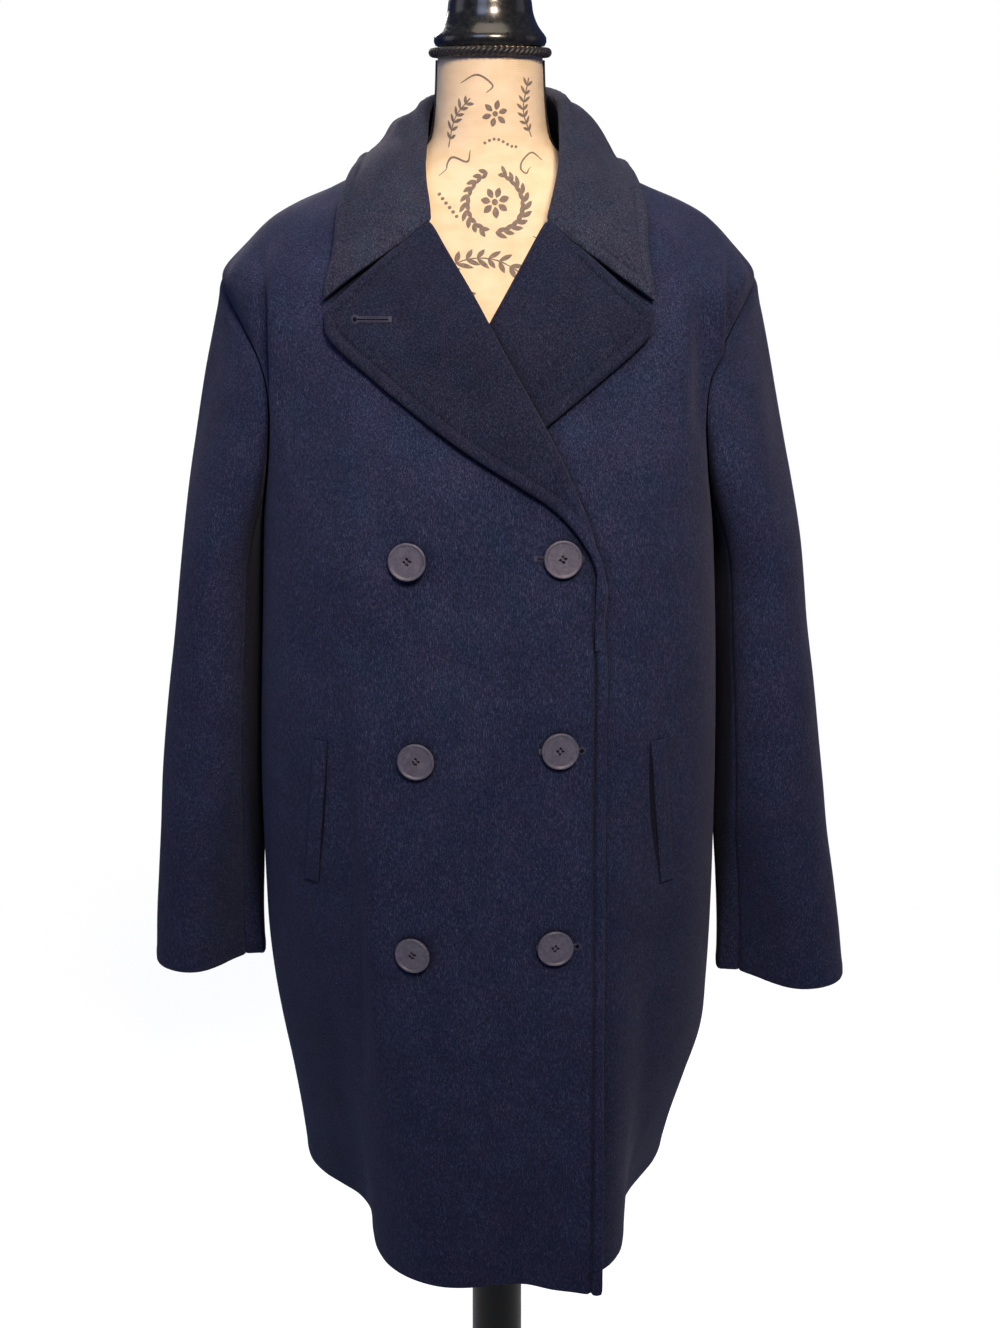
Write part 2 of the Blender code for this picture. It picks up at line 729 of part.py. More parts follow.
def collar_curve(column, end):
    """A smooth function of the neckline's row through a column of the collar's table and
    on to its front end, the same on both sides of the centre back."""
    rows = [-COLLAR[1].row] + [station.row for station in COLLAR]
    points = [Vector(getattr(station, column)) for station in COLLAR]
    points.insert(0, Vector((-points[1].x, points[1].y, points[1].z)))
    rows.append(float(BACK_NECK_COLUMNS // 2 + NECK_COLUMNS))
    points.append(end)

    def curve(row):
        i = 0
        while i < len(rows) - 2 and row > rows[i + 1]:
            i += 1
        place = i + (row - rows[i]) / (rows[i + 1] - rows[i])
        return spline(points, place / (len(rows) - 1))

    return curve


def bow_at(side, row):
    column = "bow_left" if side > 0 else "bow_right"
    for a, b in zip(COLLAR, COLLAR[1:]):
        if row <= b.row:
            share = (row - a.row) / (b.row - a.row)
            return mix(getattr(a, column), getattr(b, column), share)
    return getattr(COLLAR[-1], column)


def neckline(side, grids):
    """One half of the neckline from the centre back to the gorge, with the directions out
    of the cloth and on past its edge."""
    back, back_normals = grids[0]
    front, front_normals = grids[side]
    middle = BACK_COLUMNS // 2
    steps = range(0, BACK_NECK_COLUMNS // 2)
    places = [(back[-1][middle - side * k], back_normals[-1][middle - side * k]) for k in steps]
    for k in range(SHOULDER_COLUMNS, FRONT_COLUMNS + 1):
        places.append((front[-1][k], front_normals[-1][k]))
    result = []
    for k, (point, outward) in enumerate(places):
        ahead = places[min(k + 1, len(places) - 1)][0]
        behind = places[k - 1][0] if k else mirrored(places[1][0])
        past = (ahead - behind).cross(outward).normalized()
        past = past if past.z > 0 else -past
        result.append((point, outward, past))
    return result


def collar_end(lapel):
    """The collar's front end: the lapel's top edge moved up by a seam's gap, and past the
    notch a little more."""
    grid, through = lapel
    row = []
    for i, (point, under) in enumerate(zip(grid[-1], grid[-2])):
        part = max(0, i - ROLL_STEPS) / LEAF_COLUMNS
        opens = NOTCH_OPENS * max(0.0, (part - NOTCH) / (1 - NOTCH))
        row.append(point + (point - under).normalized() * (2.2 * SEAM + opens))
    return row, through[-1]


def collar_half(side, grids, lapel):
    """Rows of the collar's visible face from the centre back to one front end, and the
    directions through its cloth where they are set by what it is sewn to."""
    line = neckline(side, grids)
    last = len(line) - 1
    end, end_through = collar_end(lapel)
    ends = [end[ROLL_STEPS // 2].copy(), end[-1].copy()]
    front_up = -end_through[ROLL_STEPS // 2]
    for place in ends:
        place.x = side * (place.x - COAT_X)
    folds, edges = collar_curve("fold", ends[0]), collar_curve("edge", ends[1])
    rows, through = [], []
    for k in range(last):
        corner, outward, past = line[k]
        foot = corner + past * (1.4 * SEAM) - outward * CLOTH_IN_LEAF
        fold, edge = folds(k), edges(k)
        tangent = (folds(k + 0.5) - folds(k - 0.5)).normalized()
        tangent.x *= side
        share = k / last
        lean = COLLAR_LEAN * (1 - share**2)
        tilt = COLLAR_TILT * 4 * share * (1 - share) if side < 0 else 0.0
        for place in (fold, edge):
            place.x = COAT_X + side * place.x + lean
        fold.z -= tilt
        up = Vector((0, 0, 1)).lerp(front_up, ease(0.3, 0.95, share))
        up = (up - tangent * up.dot(tangent)).normalized()
        out = tangent.cross(up)
        out = out if out.dot(outward) > 0 else -out
        roll, inward = roll_points(fold - up * ROLL_RADIUS, up, out)
        points = [foot.lerp(roll[0], step / STAND_CELLS) for step in range(STAND_CELLS)]
        points += roll
        raised = (edge - roll[-1]).cross(tangent).normalized()
        raised = raised if raised.dot(up + out) > 0 else -raised
        for i in range(1, LEAF_COLUMNS + 1):
            part = i / LEAF_COLUMNS
            bow = bow_at(side, k) * math.sin(math.pi * part)
            points.append(collar_cleared(side, roll[-1].lerp(edge, part) + raised * bow))
        rows.append(points)
        through.append({0: outward, 1: (outward + inward[0]).normalized()})
        through[-1].update({STAND_CELLS + i: d for i, d in enumerate(inward)})
    corner, outward, _ = line[last]
    start = end[0] + (line[last - 1][0] - corner).normalized() * 0.004
    rows.append([start, (start + end[0]) / 2] + end)
    through.append({0: outward, 1: outward})
    through[-1].update({STAND_CELLS + i: d for i, d in enumerate(end_through)})
    return rows, through


def collar_cleared(side, point):
    """The collar's leaf pushed out until it clears the cloth under it."""
    if point.z > BODY[-1].height:
        return point
    beneath = base_lift(side, point.x - COAT_X, point.z) if point.y < 0.0 else 0.0
    return pushed_clear(point, beneath + LEAF_LIFT + 0.0030)


def build_collar(grids, lapels, material):
    left, left_through = collar_half(1, grids, lapels[1])
    right, right_through = collar_half(-1, grids, lapels[-1])
    grid = right[::-1] + left[1:]
    through = grid_normals(grid)
    for directions, known in zip(through, right_through[::-1] + left_through[1:]):
        for column, direction in known.items():
            directions[column] = direction
    two_layers(("upper_collar", "under_collar"), grid, through, material)


# ------------------------------------------------------------------ sleeves
def sleeve_ring(curves, angle, height, cuff):
    """A point of the sleeve below the armhole, as on the left; angle 0 is its outer line
    and 90 the front."""
    inner, outer = curves["inner"](height), curves["outer"](height)
    middle, half = curves["middle"](height), curves["half"](height)
    sine, cosine = math.sin(math.radians(angle)), math.cos(math.radians(angle))
    radius = (abs(cosine) ** 2.3 + abs(sine) ** 2.3) ** (-1.0 / 2.3)
    away = (angle - 132.0) / 24.0
    dent = CUFF_FOLD * ease(0.93, cuff, height) * math.exp(-0.5 * away * away)
    x = (inner + outer) / 2 + (outer - inner) / 2 * radius * cosine
    y = middle - half * radius * sine + dent * 1.6
    return Vector((COAT_X + x + 0.2 * dent, y, height))


def armhole_ring(side):
    """A whole armhole, from the shoulder down the front and up the back, with the
    directions out of the cloth and on into the opening."""
    front = marked_points(side, ARMHOLE_FRONT, ARMHOLE_ROWS)
    back = marked_points(side, ARMHOLE_BACK, ARMHOLE_ROWS)
    ring = front + back[-2:0:-1]
    middle = sum(ring, Vector()) / len(ring)
    result = []
    for k, point in enumerate(ring):
        along = ring[(k + 1) % len(ring)] - ring[k - 1]
        normal = body_normal(side * turn_of(point), point.z)
        normal.x *= side
        into = normal.cross(along).normalized()
        into = into if into.dot(middle - point) > 0 else -into
        result.append((point, normal, into))
    return result


def sleeve_columns(side, rings):
    """Lines down the sleeve's outer face, as on the left, one for each armhole point."""
    curves = {name: table_curve(rings, name) for name in Ring._fields[1:]}
    first, cuff = rings[0].height, rings[-1].height
    ring = armhole_ring(side)
    columns = []
    for k, (point, normal, into) in enumerate(ring):
        angle = 360.0 * k / len(ring)
        under = ease(0.62, 0.95, (1 - math.cos(math.radians(angle))) / 2)
        begin = point + into * (1.4 * SEAM * (1 - under)) + normal * (2.5 * SEAM * under)
        end = sleeve_ring(curves, angle, first, cuff)
        falling = (sleeve_ring(curves, angle, first - 0.01, cuff) - end).normalized()
        length = (end - begin).length
        leave = normal * 0.30 + into * 0.15 * (1 - under) + Vector((0, 0, -0.9))
        out = leave.normalized() * length * 0.85
        line = [begin]
        for j in range(1, SLEEVE_CAP_ROWS + 1):
            t = j / SLEEVE_CAP_ROWS
            place = (
                begin * (2 * t**3 - 3 * t**2 + 1)
                + out * (t**3 - 2 * t**2 + t)
                + end * (3 * t**2 - 2 * t**3)
                + falling * length * 1.1 * (t**3 - t**2)
            )
            line.append(beside_body(place, side))
        for j in range(1, SLEEVE_ROWS + 1):
            height = mix(first, cuff, j / SLEEVE_ROWS)
            line.append(beside_body(sleeve_ring(curves, angle, height, cuff), side))
        columns.append(line)
    return columns


def beside_body(point, side):
    """The point, moved sideways until it stands clear of the coat's side."""
    for _ in range(6):
        turn = turn_of(point)
        surface = own_point(side, turn, point.z)
        short = surface.x + SLEEVE_CLEAR - point.x
        if short <= 0 or turn < 20.0 or turn > 160.0:
            break
        point = point + Vector((short, 0, 0))
    return point


def build_sleeves(material):
    for word, side, rings in (("left", 1, SLEEVE_LEFT), ("right", -1, SLEEVE_RIGHT)):
        lines = sleeve_columns(side, rings)
        columns = len(lines)
        outer = [[line[j] for line in lines] for j in range(len(lines[0]))]
        normals = grid_normals(outer, closed=True)
        inner = []
        for row, directions in zip(outer, normals):
            middle = sum(row, Vector()) / columns
            points = []
            for point, normal in zip(row, directions):
                inward = middle - point
                if row is outer[0]:
                    normal = inward.normalized()
                points.append(point + normal * math.copysign(WALL, normal.dot(inward)))
            inner.append(points)
        spans = {
            f"top_sleeve_{word}": range(-TOP_SLEEVE_BACK, TOP_SLEEVE_FRONT + 1),
            f"under_sleeve_{word}": range(TOP_SLEEVE_FRONT, columns - TOP_SLEEVE_BACK + 1),
        }
        for name, span in spans.items():
            layers = []
            for layer in (outer, inner):
                picked = [drawn_in([row[i % columns] for i in span]) for row in layer]
                if side < 0:
                    picked = [[mirrored(p) for p in row] for row in picked]
                layers.append(picked)
            wall_object(name, *layers, material)


def drawn_in(row):
    """A row whose two ends are drawn in along it, which leaves a gap at a seam."""
    row[0] = row[0] + (row[1] - row[0]).normalized() * (0.9 * SEAM)
    row[-1] = row[-1] + (row[-2] - row[-1]).normalized() * (0.9 * SEAM)
    return row


# ------------------------------------------------------------------ welts and buttons
def build_welts(material):
    for word, side in (("left", 1), ("right", -1)):
        outer, inner = [], []
        for j in range(WELT_ROWS + 1):
            share = j / WELT_ROWS
            x = mix(WELT_BOTTOM.x, WELT_TOP.x, share)
            height = mix(WELT_BOTTOM.height, WELT_TOP.height, share)
            xs = (x, x + WELT_WIDTH / 2, x + WELT_WIDTH)
            outer.append([on_front(side, place, height, REST + WELT_THICKNESS) for place in xs])
            inner.append([on_front(side, place, height, REST) for place in xs])
        wall_object(f"welt_{word}", outer, inner, material)


def turned(name, profile, segments, material, place=Vector()):
    """A solid of revolution about Z from (radius, height) pairs going up its outside."""
    points, faces = [], []
    for radius, height in profile:
        for k in range(segments):
            angle = 2 * math.pi * k / segments
            corner = Vector((radius * math.cos(angle), radius * math.sin(angle), height))
            points.append(place + corner)
    rings = len(profile)
    for j in range(rings - 1):
        for k in range(segments):
            a, b = j * segments + k, j * segments + (k + 1) % segments
            faces.append((a, b, b + segments, a + segments))
    faces.append(tuple(reversed(range(segments))))
    faces.append(tuple(range((rings - 1) * segments, rings * segments)))
    return mesh_object(name, points, faces, material)


def button_profile():
    radius, thick = BUTTON_DIAMETER / 2, BUTTON_THICKNESS
    return (
        (radius * 0.84, 0.0),
        (radius, thick * 0.35),
        (radius, thick * 0.85),
        (radius * 0.94, thick),
        (radius * 0.86, thick * 0.78),
    )


def hole_prisms():
    """Four small prisms that drill a button's holes."""
    mesh = bpy.data.meshes.new("button_holes")
    points, faces = [], []
    for across, along in ((-1, -1), (-1, 1), (1, -1), (1, 1)):
        first = len(points)
        for height in (-0.002, 0.006):
            for k in range(HOLE_SIDES):
                angle = 2 * math.pi * (k + 0.5) / HOLE_SIDES
                x = across * HOLE_REACH + HOLE_RADIUS * math.cos(angle)
                y = along * HOLE_REACH + HOLE_RADIUS * math.sin(angle)
                points.append((x, y, height))
        low = list(range(first, first + HOLE_SIDES))
        high = [k + HOLE_SIDES for k in low]
        faces.append(tuple(reversed(low)))
        faces.append(tuple(high))
        for k in range(HOLE_SIDES):
            n = (k + 1) % HOLE_SIDES
            faces.append((low[k], low[n], high[n], high[k]))
    mesh.from_pydata(points, [], faces)
    return mesh


def build_buttons(material):
    prisms = hole_prisms()
    for name, spot in BUTTONS.items():
        turn = front_turn(spot.x, spot.height)
        normal = body_normal(turn, spot.height)
        centre = on_right_front(spot.x, spot.height)
        proud = 0.0
        for k in range(16):
            angle = 2 * math.pi * k / 16
            x = spot.x + 0.45 * BUTTON_DIAMETER * math.cos(angle)
            height = spot.height + 0.45 * BUTTON_DIAMETER * math.sin(angle)
            proud = max(proud, (on_right_front(x, height) - centre).dot(normal))
        seat = centre + normal * (proud + REST)
        facing = normal.to_track_quat("Z", "Y")
        button = turned(name, button_profile(), BUTTON_SEGMENTS, material)
        holes = bpy.data.objects.new(name + "_holes", prisms)
        bpy.context.scene.collection.objects.link(holes)
        holes.hide_render = True
        holes.display_type = "WIRE"
        for item in (button, holes):
            item.location = seat
            item.rotation_mode = "QUATERNION"
            item.rotation_quaternion = facing
        drill = button.modifiers.new("holes", "BOOLEAN")
        drill.operation = "DIFFERENCE"
        drill.object = holes


def on_right_front(x, height):
    turn = front_turn(x, height)
    return body_point(turn, height) + body_normal(turn, height) * overlap_lift(x, height)


# ------------------------------------------------------------------ dress form
def form_heights(half):
    """Heights of the form's rings, evenly along its side in each span."""
    heights = [FORM_SPANS[0][0]]
    for low, high, cells in FORM_SPANS:
        def side(share, low=low, high=high):
            height = mix(low, high, share)
            return Vector((half(height), height, 0.0))

        heights += [place.y for place in evenly(side, cells)[1:]]
    return heights


def build_form(linen, paint, cord):
    curves = {name: table_curve(FORM, name) for name in FormSection._fields[1:]}
    low, high = FORM[0].height, FORM[-1].height
    points, faces = [], []
    for height in form_heights(curves["half"]):
        at = {name: curve(height) for name, curve in curves.items()}
        for k in range(FORM_COLUMNS):
            angle = 2 * math.pi * k / FORM_COLUMNS
            sine, cosine = math.sin(angle), math.cos(angle)
            deep = at["middle"] - at["front"] if cosine > 0 else at["back"] - at["middle"]
            power = at["square"]
            wide = at["half"]
            radius = (abs(sine / wide) ** power + abs(cosine / deep) ** power) ** (-1 / power)
            x = -at["lean"] + radius * sine
            point = Vector((x, at["middle"] - radius * cosine, height))
            if 1.20 < height < NECK_Z:
                point = kept_inside(point, -WALL - FORM_REST)
            points.append(point)
    last = len(points) // FORM_COLUMNS - 1
    for j in range(last):
        for k in range(FORM_COLUMNS):
            a = j * FORM_COLUMNS + k
            b = j * FORM_COLUMNS + (k + 1) % FORM_COLUMNS
            faces.append((a, b, b + FORM_COLUMNS, a + FORM_COLUMNS))
    faces.append(tuple(reversed(range(FORM_COLUMNS))))
    faces.append(tuple(range(last * FORM_COLUMNS, (last + 1) * FORM_COLUMNS)))
    mesh_object("form_torso", points, faces, linen)

    neck_x = -FORM[-1].lean
    neck_top = high
    cap = (
        (0.0400, neck_top + SEAM),
        (0.0452, neck_top + 0.003),
        (0.0458, neck_top + 0.007),
        (0.0440, neck_top + 0.011),
        (0.0385, neck_top + 0.018),
        (0.0350, neck_top + 0.027),
        (0.0332, neck_top + 0.038),
        (0.0290, neck_top + 0.048),
        (0.0200, neck_top + 0.0555),
        (0.0080, CAP_TOP),
    )
    turned("neck_cap", cap, 20, paint, Vector((neck_x, 0.0, 0.0)))

    place = Vector((neck_x, 0.0, neck_top - CORD_HALF[1] - 0.001))
    mesh_ring(FORM[-1].back + CORD_HALF[0] + 2.2 * SEAM, CORD_HALF, 24, 6, place, cord)

    post = (
        (0.030, BASE_HEIGHT + SEAM),
        (0.030, BASE_HEIGHT + 0.012),
        (POST_RADIUS, BASE_HEIGHT + 0.030),
        (POST_RADIUS * 1.02, 0.34),
        (POST_RADIUS * 0.92, low - 0.030),
        (0.034, low - 0.012),
        (0.034, low - SEAM),
    )
    turned("form_post", post, 20, paint)
    base = (
        (BASE_RADIUS - 0.004, 0.0),
        (BASE_RADIUS, 0.005),
        (BASE_RADIUS, 0.013),
        (BASE_RADIUS - 0.006, 0.018),
        (BASE_RADIUS * 0.55, 0.024),
        (0.045, BASE_HEIGHT),
    )
    turned("form_base", base, 32, paint)


def mesh_ring(major, half, around, section, place, material):
    points, faces = [], []
    for k in range(around):
        turn = 2 * math.pi * k / around
        for i in range(section):
            angle = 2 * math.pi * i / section
            reach, rise = major + half[0] * math.cos(angle), half[1] * math.sin(angle)
            corner = Vector((reach * math.cos(turn), reach * math.sin(turn), rise))
            points.append(place + corner)
    for k in range(around):
        for i in range(section):
            n, m = (k + 1) % around, (i + 1) % section
            faces.append(
                (k * section + i, n * section + i, n * section + m, k * section + m)
            )
    mesh_object("neck_cord", points, faces, material)


# ------------------------------------------------------------------ the model
def material(name, colour, roughness, metallic=0.0):
    made = bpy.data.materials.new(name)
    made.use_nodes = True
    shader = made.node_tree.nodes["Principled BSDF"]
    shader.inputs["Base Color"].default_value = (*colour, 1.0)
    shader.inputs["Roughness"].default_value = roughness
    shader.inputs["Metallic"].default_value = metallic
    return made


def main():
    for item in list(bpy.data.objects):
        bpy.data.objects.remove(item)
    wool = material("navy_melton", (0.016, 0.019, 0.050), 0.92)
    plastic = material("button_plastic", (0.085, 0.080, 0.095), 0.50)
    linen = material("linen", (0.76, 0.62, 0.40), 0.85)
    paint = material("black_paint", (0.012, 0.013, 0.012), 0.25)
    cord = material("black_cord", (0.010, 0.010, 0.012), 0.70)
    grids = build_body(wool)
    lapels = build_lapels(grids, wool)
    build_collar(grids, lapels, wool)
    build_sleeves(wool)
    build_welts(wool)
    build_buttons(plastic)
    build_form(linen, paint, cord)


main()
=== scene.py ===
import random
from collections import namedtuple
from math import asin, atan2, cos, degrees, exp, hypot, inf, pi, radians, sin, sqrt

import bmesh
import bpy
import numpy as np
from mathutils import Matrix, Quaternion, Vector


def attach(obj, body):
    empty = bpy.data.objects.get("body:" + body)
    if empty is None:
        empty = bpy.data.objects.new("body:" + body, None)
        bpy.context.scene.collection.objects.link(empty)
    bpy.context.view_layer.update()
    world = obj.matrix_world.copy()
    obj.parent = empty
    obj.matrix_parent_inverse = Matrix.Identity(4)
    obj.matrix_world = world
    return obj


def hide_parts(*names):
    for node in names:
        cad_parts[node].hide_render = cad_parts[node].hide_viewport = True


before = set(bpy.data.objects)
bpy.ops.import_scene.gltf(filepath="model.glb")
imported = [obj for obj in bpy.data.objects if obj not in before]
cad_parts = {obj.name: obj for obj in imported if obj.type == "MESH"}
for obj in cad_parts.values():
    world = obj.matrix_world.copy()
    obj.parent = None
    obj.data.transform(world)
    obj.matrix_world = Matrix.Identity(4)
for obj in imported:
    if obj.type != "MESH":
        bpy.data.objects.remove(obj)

scene = bpy.context.scene
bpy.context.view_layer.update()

# A navy pea coat on a limbless dress form. The coat is drawn on the same surface as its
# solids: the tables give sections, folds, seams and edges, and the panels are patches of it.
coatX = -0.006  # the coat's centre line hangs a little to the wearer's right
wall = 0.0024  # melton wool of the body and sleeves
layer = 0.0018  # each of the two layers in the collar and the lapels
seamGap = 0.0003  # pieces stay this far apart at a seam
restGap = 0.0005  # a piece that lies on another
hemZ = 0.47
armpitZ = 1.105
shoulderZ = 1.318  # shoulder seam at the armhole
neckZ = 1.417  # shoulder seam at the neck
breakZ = 1.085  # where the front edge starts to roll
edgeTurn = 0.014  # height of the short rows just below it
edgeRetreat = 0.045  # the panel's edge starts to draw back under the roll this far below it
sideTurn = 93.0  # side seams, degrees from the centre front
rollRadius = 0.0051  # outer radius of the roll of lapel and collar
leafLift = 0.0058  # visible face of a lapel or collar edge above the cloth below it
frontEdge = 0.0925  # free edge past the centre front
kickReach = 0.034  # the right front's lower corner swings out by this much
buttonDiameter = 0.03
buttonThickness = 0.004
holeReach = 0.0016  # how far the centres of the holes are from both middle lines
sideRows, armholeRows = 12, 12
edgeRows = 13
rollRows = sideRows + armholeRows - edgeRows
shoulderColumns, neckColumns = 8, 8
frontColumns = shoulderColumns + neckColumns
backNeckColumns = 6
backColumns = 2 * shoulderColumns + backNeckColumns
slopeStep = 1e-3  # for slopes of the body surface

# Horizontal sections of the coat's body. right and left are half widths on the wearer's
# sides, front and back are where the section crosses the middle, middle is where it is
# widest, and square is 2 for an ellipse and more for a boxier section.
bodySection = namedtuple("bodySection", "height right left front back middle square")
bodySections = tuple(bodySection(*row) for row in (
    (0.47, 0.187, 0.178, -0.175, 0.15, 0.06, 2.5), (0.54, 0.191, 0.189, -0.174, 0.15, 0.045, 2.5),
    (0.64, 0.2, 0.207, -0.173, 0.149, 0.025, 2.5), (0.73, 0.205, 0.206, -0.172, 0.148, 0.01, 2.5),
    (0.86, 0.203, 0.201, -0.171, 0.147, 0.0, 2.6), (1.05, 0.194, 0.193, -0.168, 0.146, -0.005, 2.7),
    (1.15, 0.19, 0.188, -0.159, 0.146, -0.005, 2.8), (1.235, 0.197, 0.195, -0.143, 0.142, 0.0, 2.7),
    (1.285, 0.213, 0.211, -0.131, 0.132, 0.0, 2.5), (1.318, 0.222, 0.221, -0.119, 0.123, 0.002, 2.35),
    (1.34, 0.204, 0.204, -0.11, 0.115, 0.004, 2.25), (1.362, 0.184, 0.186, -0.101, 0.107, 0.006, 2.15),
    (1.38, 0.153, 0.155, -0.092, 0.1, 0.008, 2.1), (1.394, 0.117, 0.119, -0.084, 0.094, 0.01, 2.1),
    (1.417, 0.074, 0.075, -0.066, 0.082, 0.012, 2.1), (1.436, 0.062, 0.063, -0.052, 0.074, 0.012, 2.1),
))

# Folds of the hanging skirt: turn from the centre front (minus is the wearer's right),
# depth at the hem, height where it starts, how it grows, and its spread to either side.
skirtFold = namedtuple("skirtFold", "turn depth start growth toFront toBack")
skirtFolds = tuple(skirtFold(*row) for row in (
    (-46.5, 0.073, 1.0, 1.5, 15.5, 22.0), (50.0, 0.051, 1.0, 1.5, 11.5, 26.0),
    (6.0, 0.013, 0.78, 1.4, 7.0, 7.0), (-152.0, 0.02, 1.05, 1.3, 11.0, 11.0),
    (144.0, 0.016, 0.98, 1.3, 12.0, 12.0),
))

seamMark = namedtuple("seamMark", "turn height")
armholeFront = tuple(seamMark(*row) for row in (
    (90.0, shoulderZ), (75.5, 1.281), (67.0, 1.238), (66.5, 1.19), (75.0, 1.135), (sideTurn, armpitZ),
))
armholeBack = tuple(seamMark(*row) for row in (
    (90.0, shoulderZ), (104.0, 1.283), (112.0, 1.24), (113.0, 1.19), (107.0, 1.135), (sideTurn, armpitZ),
))
necklineFront = (seamMark(90.0, neckZ), seamMark(68.0, 1.413), seamMark(49.0, 1.403), seamMark(34.0, 1.384))
necklineBack = (seamMark(90.0, neckZ), seamMark(135.0, 1.432), seamMark(180.0, 1.436))

# The left front as seen from in front: x from the coat's centre line towards the front
# edge, and height. The right front is its mirror image.
frontSpot = namedtuple("frontSpot", "x height")
rollLine = tuple(frontSpot(*row) for row in (
    (-0.0925, breakZ), (-0.076, 1.139), (-0.044, 1.207), (-0.001, 1.283), (0.044, 1.362),
))
lapelEdge = tuple(frontSpot(*row) for row in (
    (-0.083, 1.0975), (-0.0745, 1.118), (-0.0486, 1.149), (0.026, 1.1965), (0.1003, 1.2556),
    (0.1235, 1.277), (0.1265, 1.294),
))
notchShare = 0.27  # share of the lapel's top edge that is sewn to the collar
notchOpens = 0.0095  # and from there to the corners the two part this far

# The collar: at a row of the neckline counted from the centre back, the top of its fold,
# its outer edge, and how far its leaf bows up between the two. Its front end follows the
# lapel's top edge.
collarStation = namedtuple("collarStation", "row fold edge bowLeft bowRight")
collarStations = tuple(collarStation(*row) for row in (
    (0.0, (0.0, 0.07, 1.47), (0.0, 0.126, 1.392), 0.005, 0.005),
    (1.5, (0.037, 0.055, 1.468), (0.074, 0.096, 1.396), 0.004, 0.002),
    (3.0, (0.0555, 0.008, 1.46), (0.104, 0.01, 1.4), 0.003, -0.003),
    (5.0, (0.057, -0.029, 1.437), (0.107, -0.036, 1.381), 0.003, 0.0),
    (7.0, (0.0535, -0.062, 1.408), (0.115, -0.07, 1.357), 0.003, 0.002),
    (9.0, (0.048, -0.086, 1.383), (0.1215, -0.097, 1.331), 0.003, 0.002),
))
collarLean = 0.0045  # the collar sits this far to the wearer's left behind the neck
collarTilt = 0.004  # and its fold this much lower on the wearer's right

# Sleeve below the armhole: height, and for its outline seen from in front the inner and
# outer side, then its middle and half size from front to back.
sleeveRingRow = namedtuple("sleeveRingRow", "height inner outer middle half")
sleeveRight = tuple(sleeveRingRow(*row) for row in (
    (1.06, 0.197, 0.2705, 0.012, 0.078), (0.96, 0.205, 0.286, 0.01, 0.07),
    (0.86, 0.208, 0.2975, 0.012, 0.062), (0.78, 0.208, 0.3035, 0.016, 0.054),
    (0.698, 0.208, 0.308, 0.02, 0.047),
))
sleeveLeft = tuple(sleeveRingRow(*row) for row in (
    (1.06, 0.196, 0.274, 0.01, 0.078), (0.96, 0.203, 0.29, 0.006, 0.071),
    (0.86, 0.206, 0.304, 0.004, 0.064), (0.78, 0.207, 0.3125, 0.004, 0.057),
    (0.69, 0.208, 0.322, 0.004, 0.05),
))
cuffFold = 0.02  # how far the inner front of each cuff falls in
sleeveClear = 0.0012  # the sleeves hang this far off the coat's sides at least
sleeveCapRows, sleeveRows = 6, 8
topSleeveFront, topSleeveBack = 9, 7  # columns from its outer line to its two seams

buttonSpots = dict(
    button_right_1=frontSpot(-0.062, 1.107), button_left_1=frontSpot(0.0575, 1.1085),
    button_right_2=frontSpot(-0.0575, 0.945), button_left_2=frontSpot(0.0563, 0.954),
    button_right_3=frontSpot(-0.0608, 0.777), button_left_3=frontSpot(0.0535, 0.785),
)
weltTop = frontSpot(0.1315, 0.953)
weltBottom = frontSpot(0.1435, 0.823)
weltWidth = 0.011
formSection = namedtuple("formSection", "height half front back middle square lean")
formSections = tuple(formSection(*row) for row in (
    (0.7, 0.158, -0.1, 0.118, 0.008, 2.2, 0.001), (0.72, 0.163, -0.104, 0.122, 0.008, 2.2, 0.001),
    (0.82, 0.164, -0.105, 0.12, 0.008, 2.2, 0.001), (0.92, 0.14, -0.098, 0.098, 0.004, 2.2, 0.002),
    (0.99, 0.122, -0.094, 0.084, 0.0, 2.2, 0.002), (1.08, 0.134, -0.108, 0.088, -0.004, 2.2, 0.003),
    (1.17, 0.15, -0.126, 0.098, -0.004, 2.2, 0.003), (1.25, 0.158, -0.116, 0.106, 0.0, 2.3, 0.004),
    (1.31, 0.17, -0.094, 0.102, 0.004, 2.4, 0.004), (1.34, 0.181, -0.08, 0.096, 0.006, 2.4, 0.005),
    (1.356, 0.183, -0.074, 0.092, 0.007, 2.3, 0.005), (1.375, 0.16, -0.066, 0.085, 0.008, 2.2, 0.005),
    (1.39, 0.115, -0.059, 0.078, 0.01, 2.1, 0.005), (1.408, 0.066, -0.052, 0.066, 0.008, 2.0, 0.005),
    (1.43, 0.0475, -0.046, 0.052, 0.003, 2.0, 0.005), (1.46, 0.044, -0.044, 0.046, 0.001, 2.0, 0.005),
    (1.498, 0.0425, -0.043, 0.043, 0.0, 2.0, 0.005),
))
formRest = 0.003  # the coat rests this far off the form's shoulders
capTop = 1.556
postRadius = 0.023
baseRadius = 0.19
baseHeight = 0.03


def mix(a, b, share):
    return a + (b - a) * share


# 0 before start, 1 after end, and a soft step between them.
def ease(start, end, value):
    share = min(1.0, max(0.0, (value - start) / (end - start)))
    return share * share * (3.0 - 2.0 * share)


# The curve from a to b that leaves and arrives with these slopes.
def hermite(a, out, b, into, t):
    return (a * (2 * t**3 - 3 * t**2 + 1) + out * (t**3 - 2 * t**2 + t)
            + b * (3 * t**2 - 2 * t**3) + into * (t**3 - t**2))


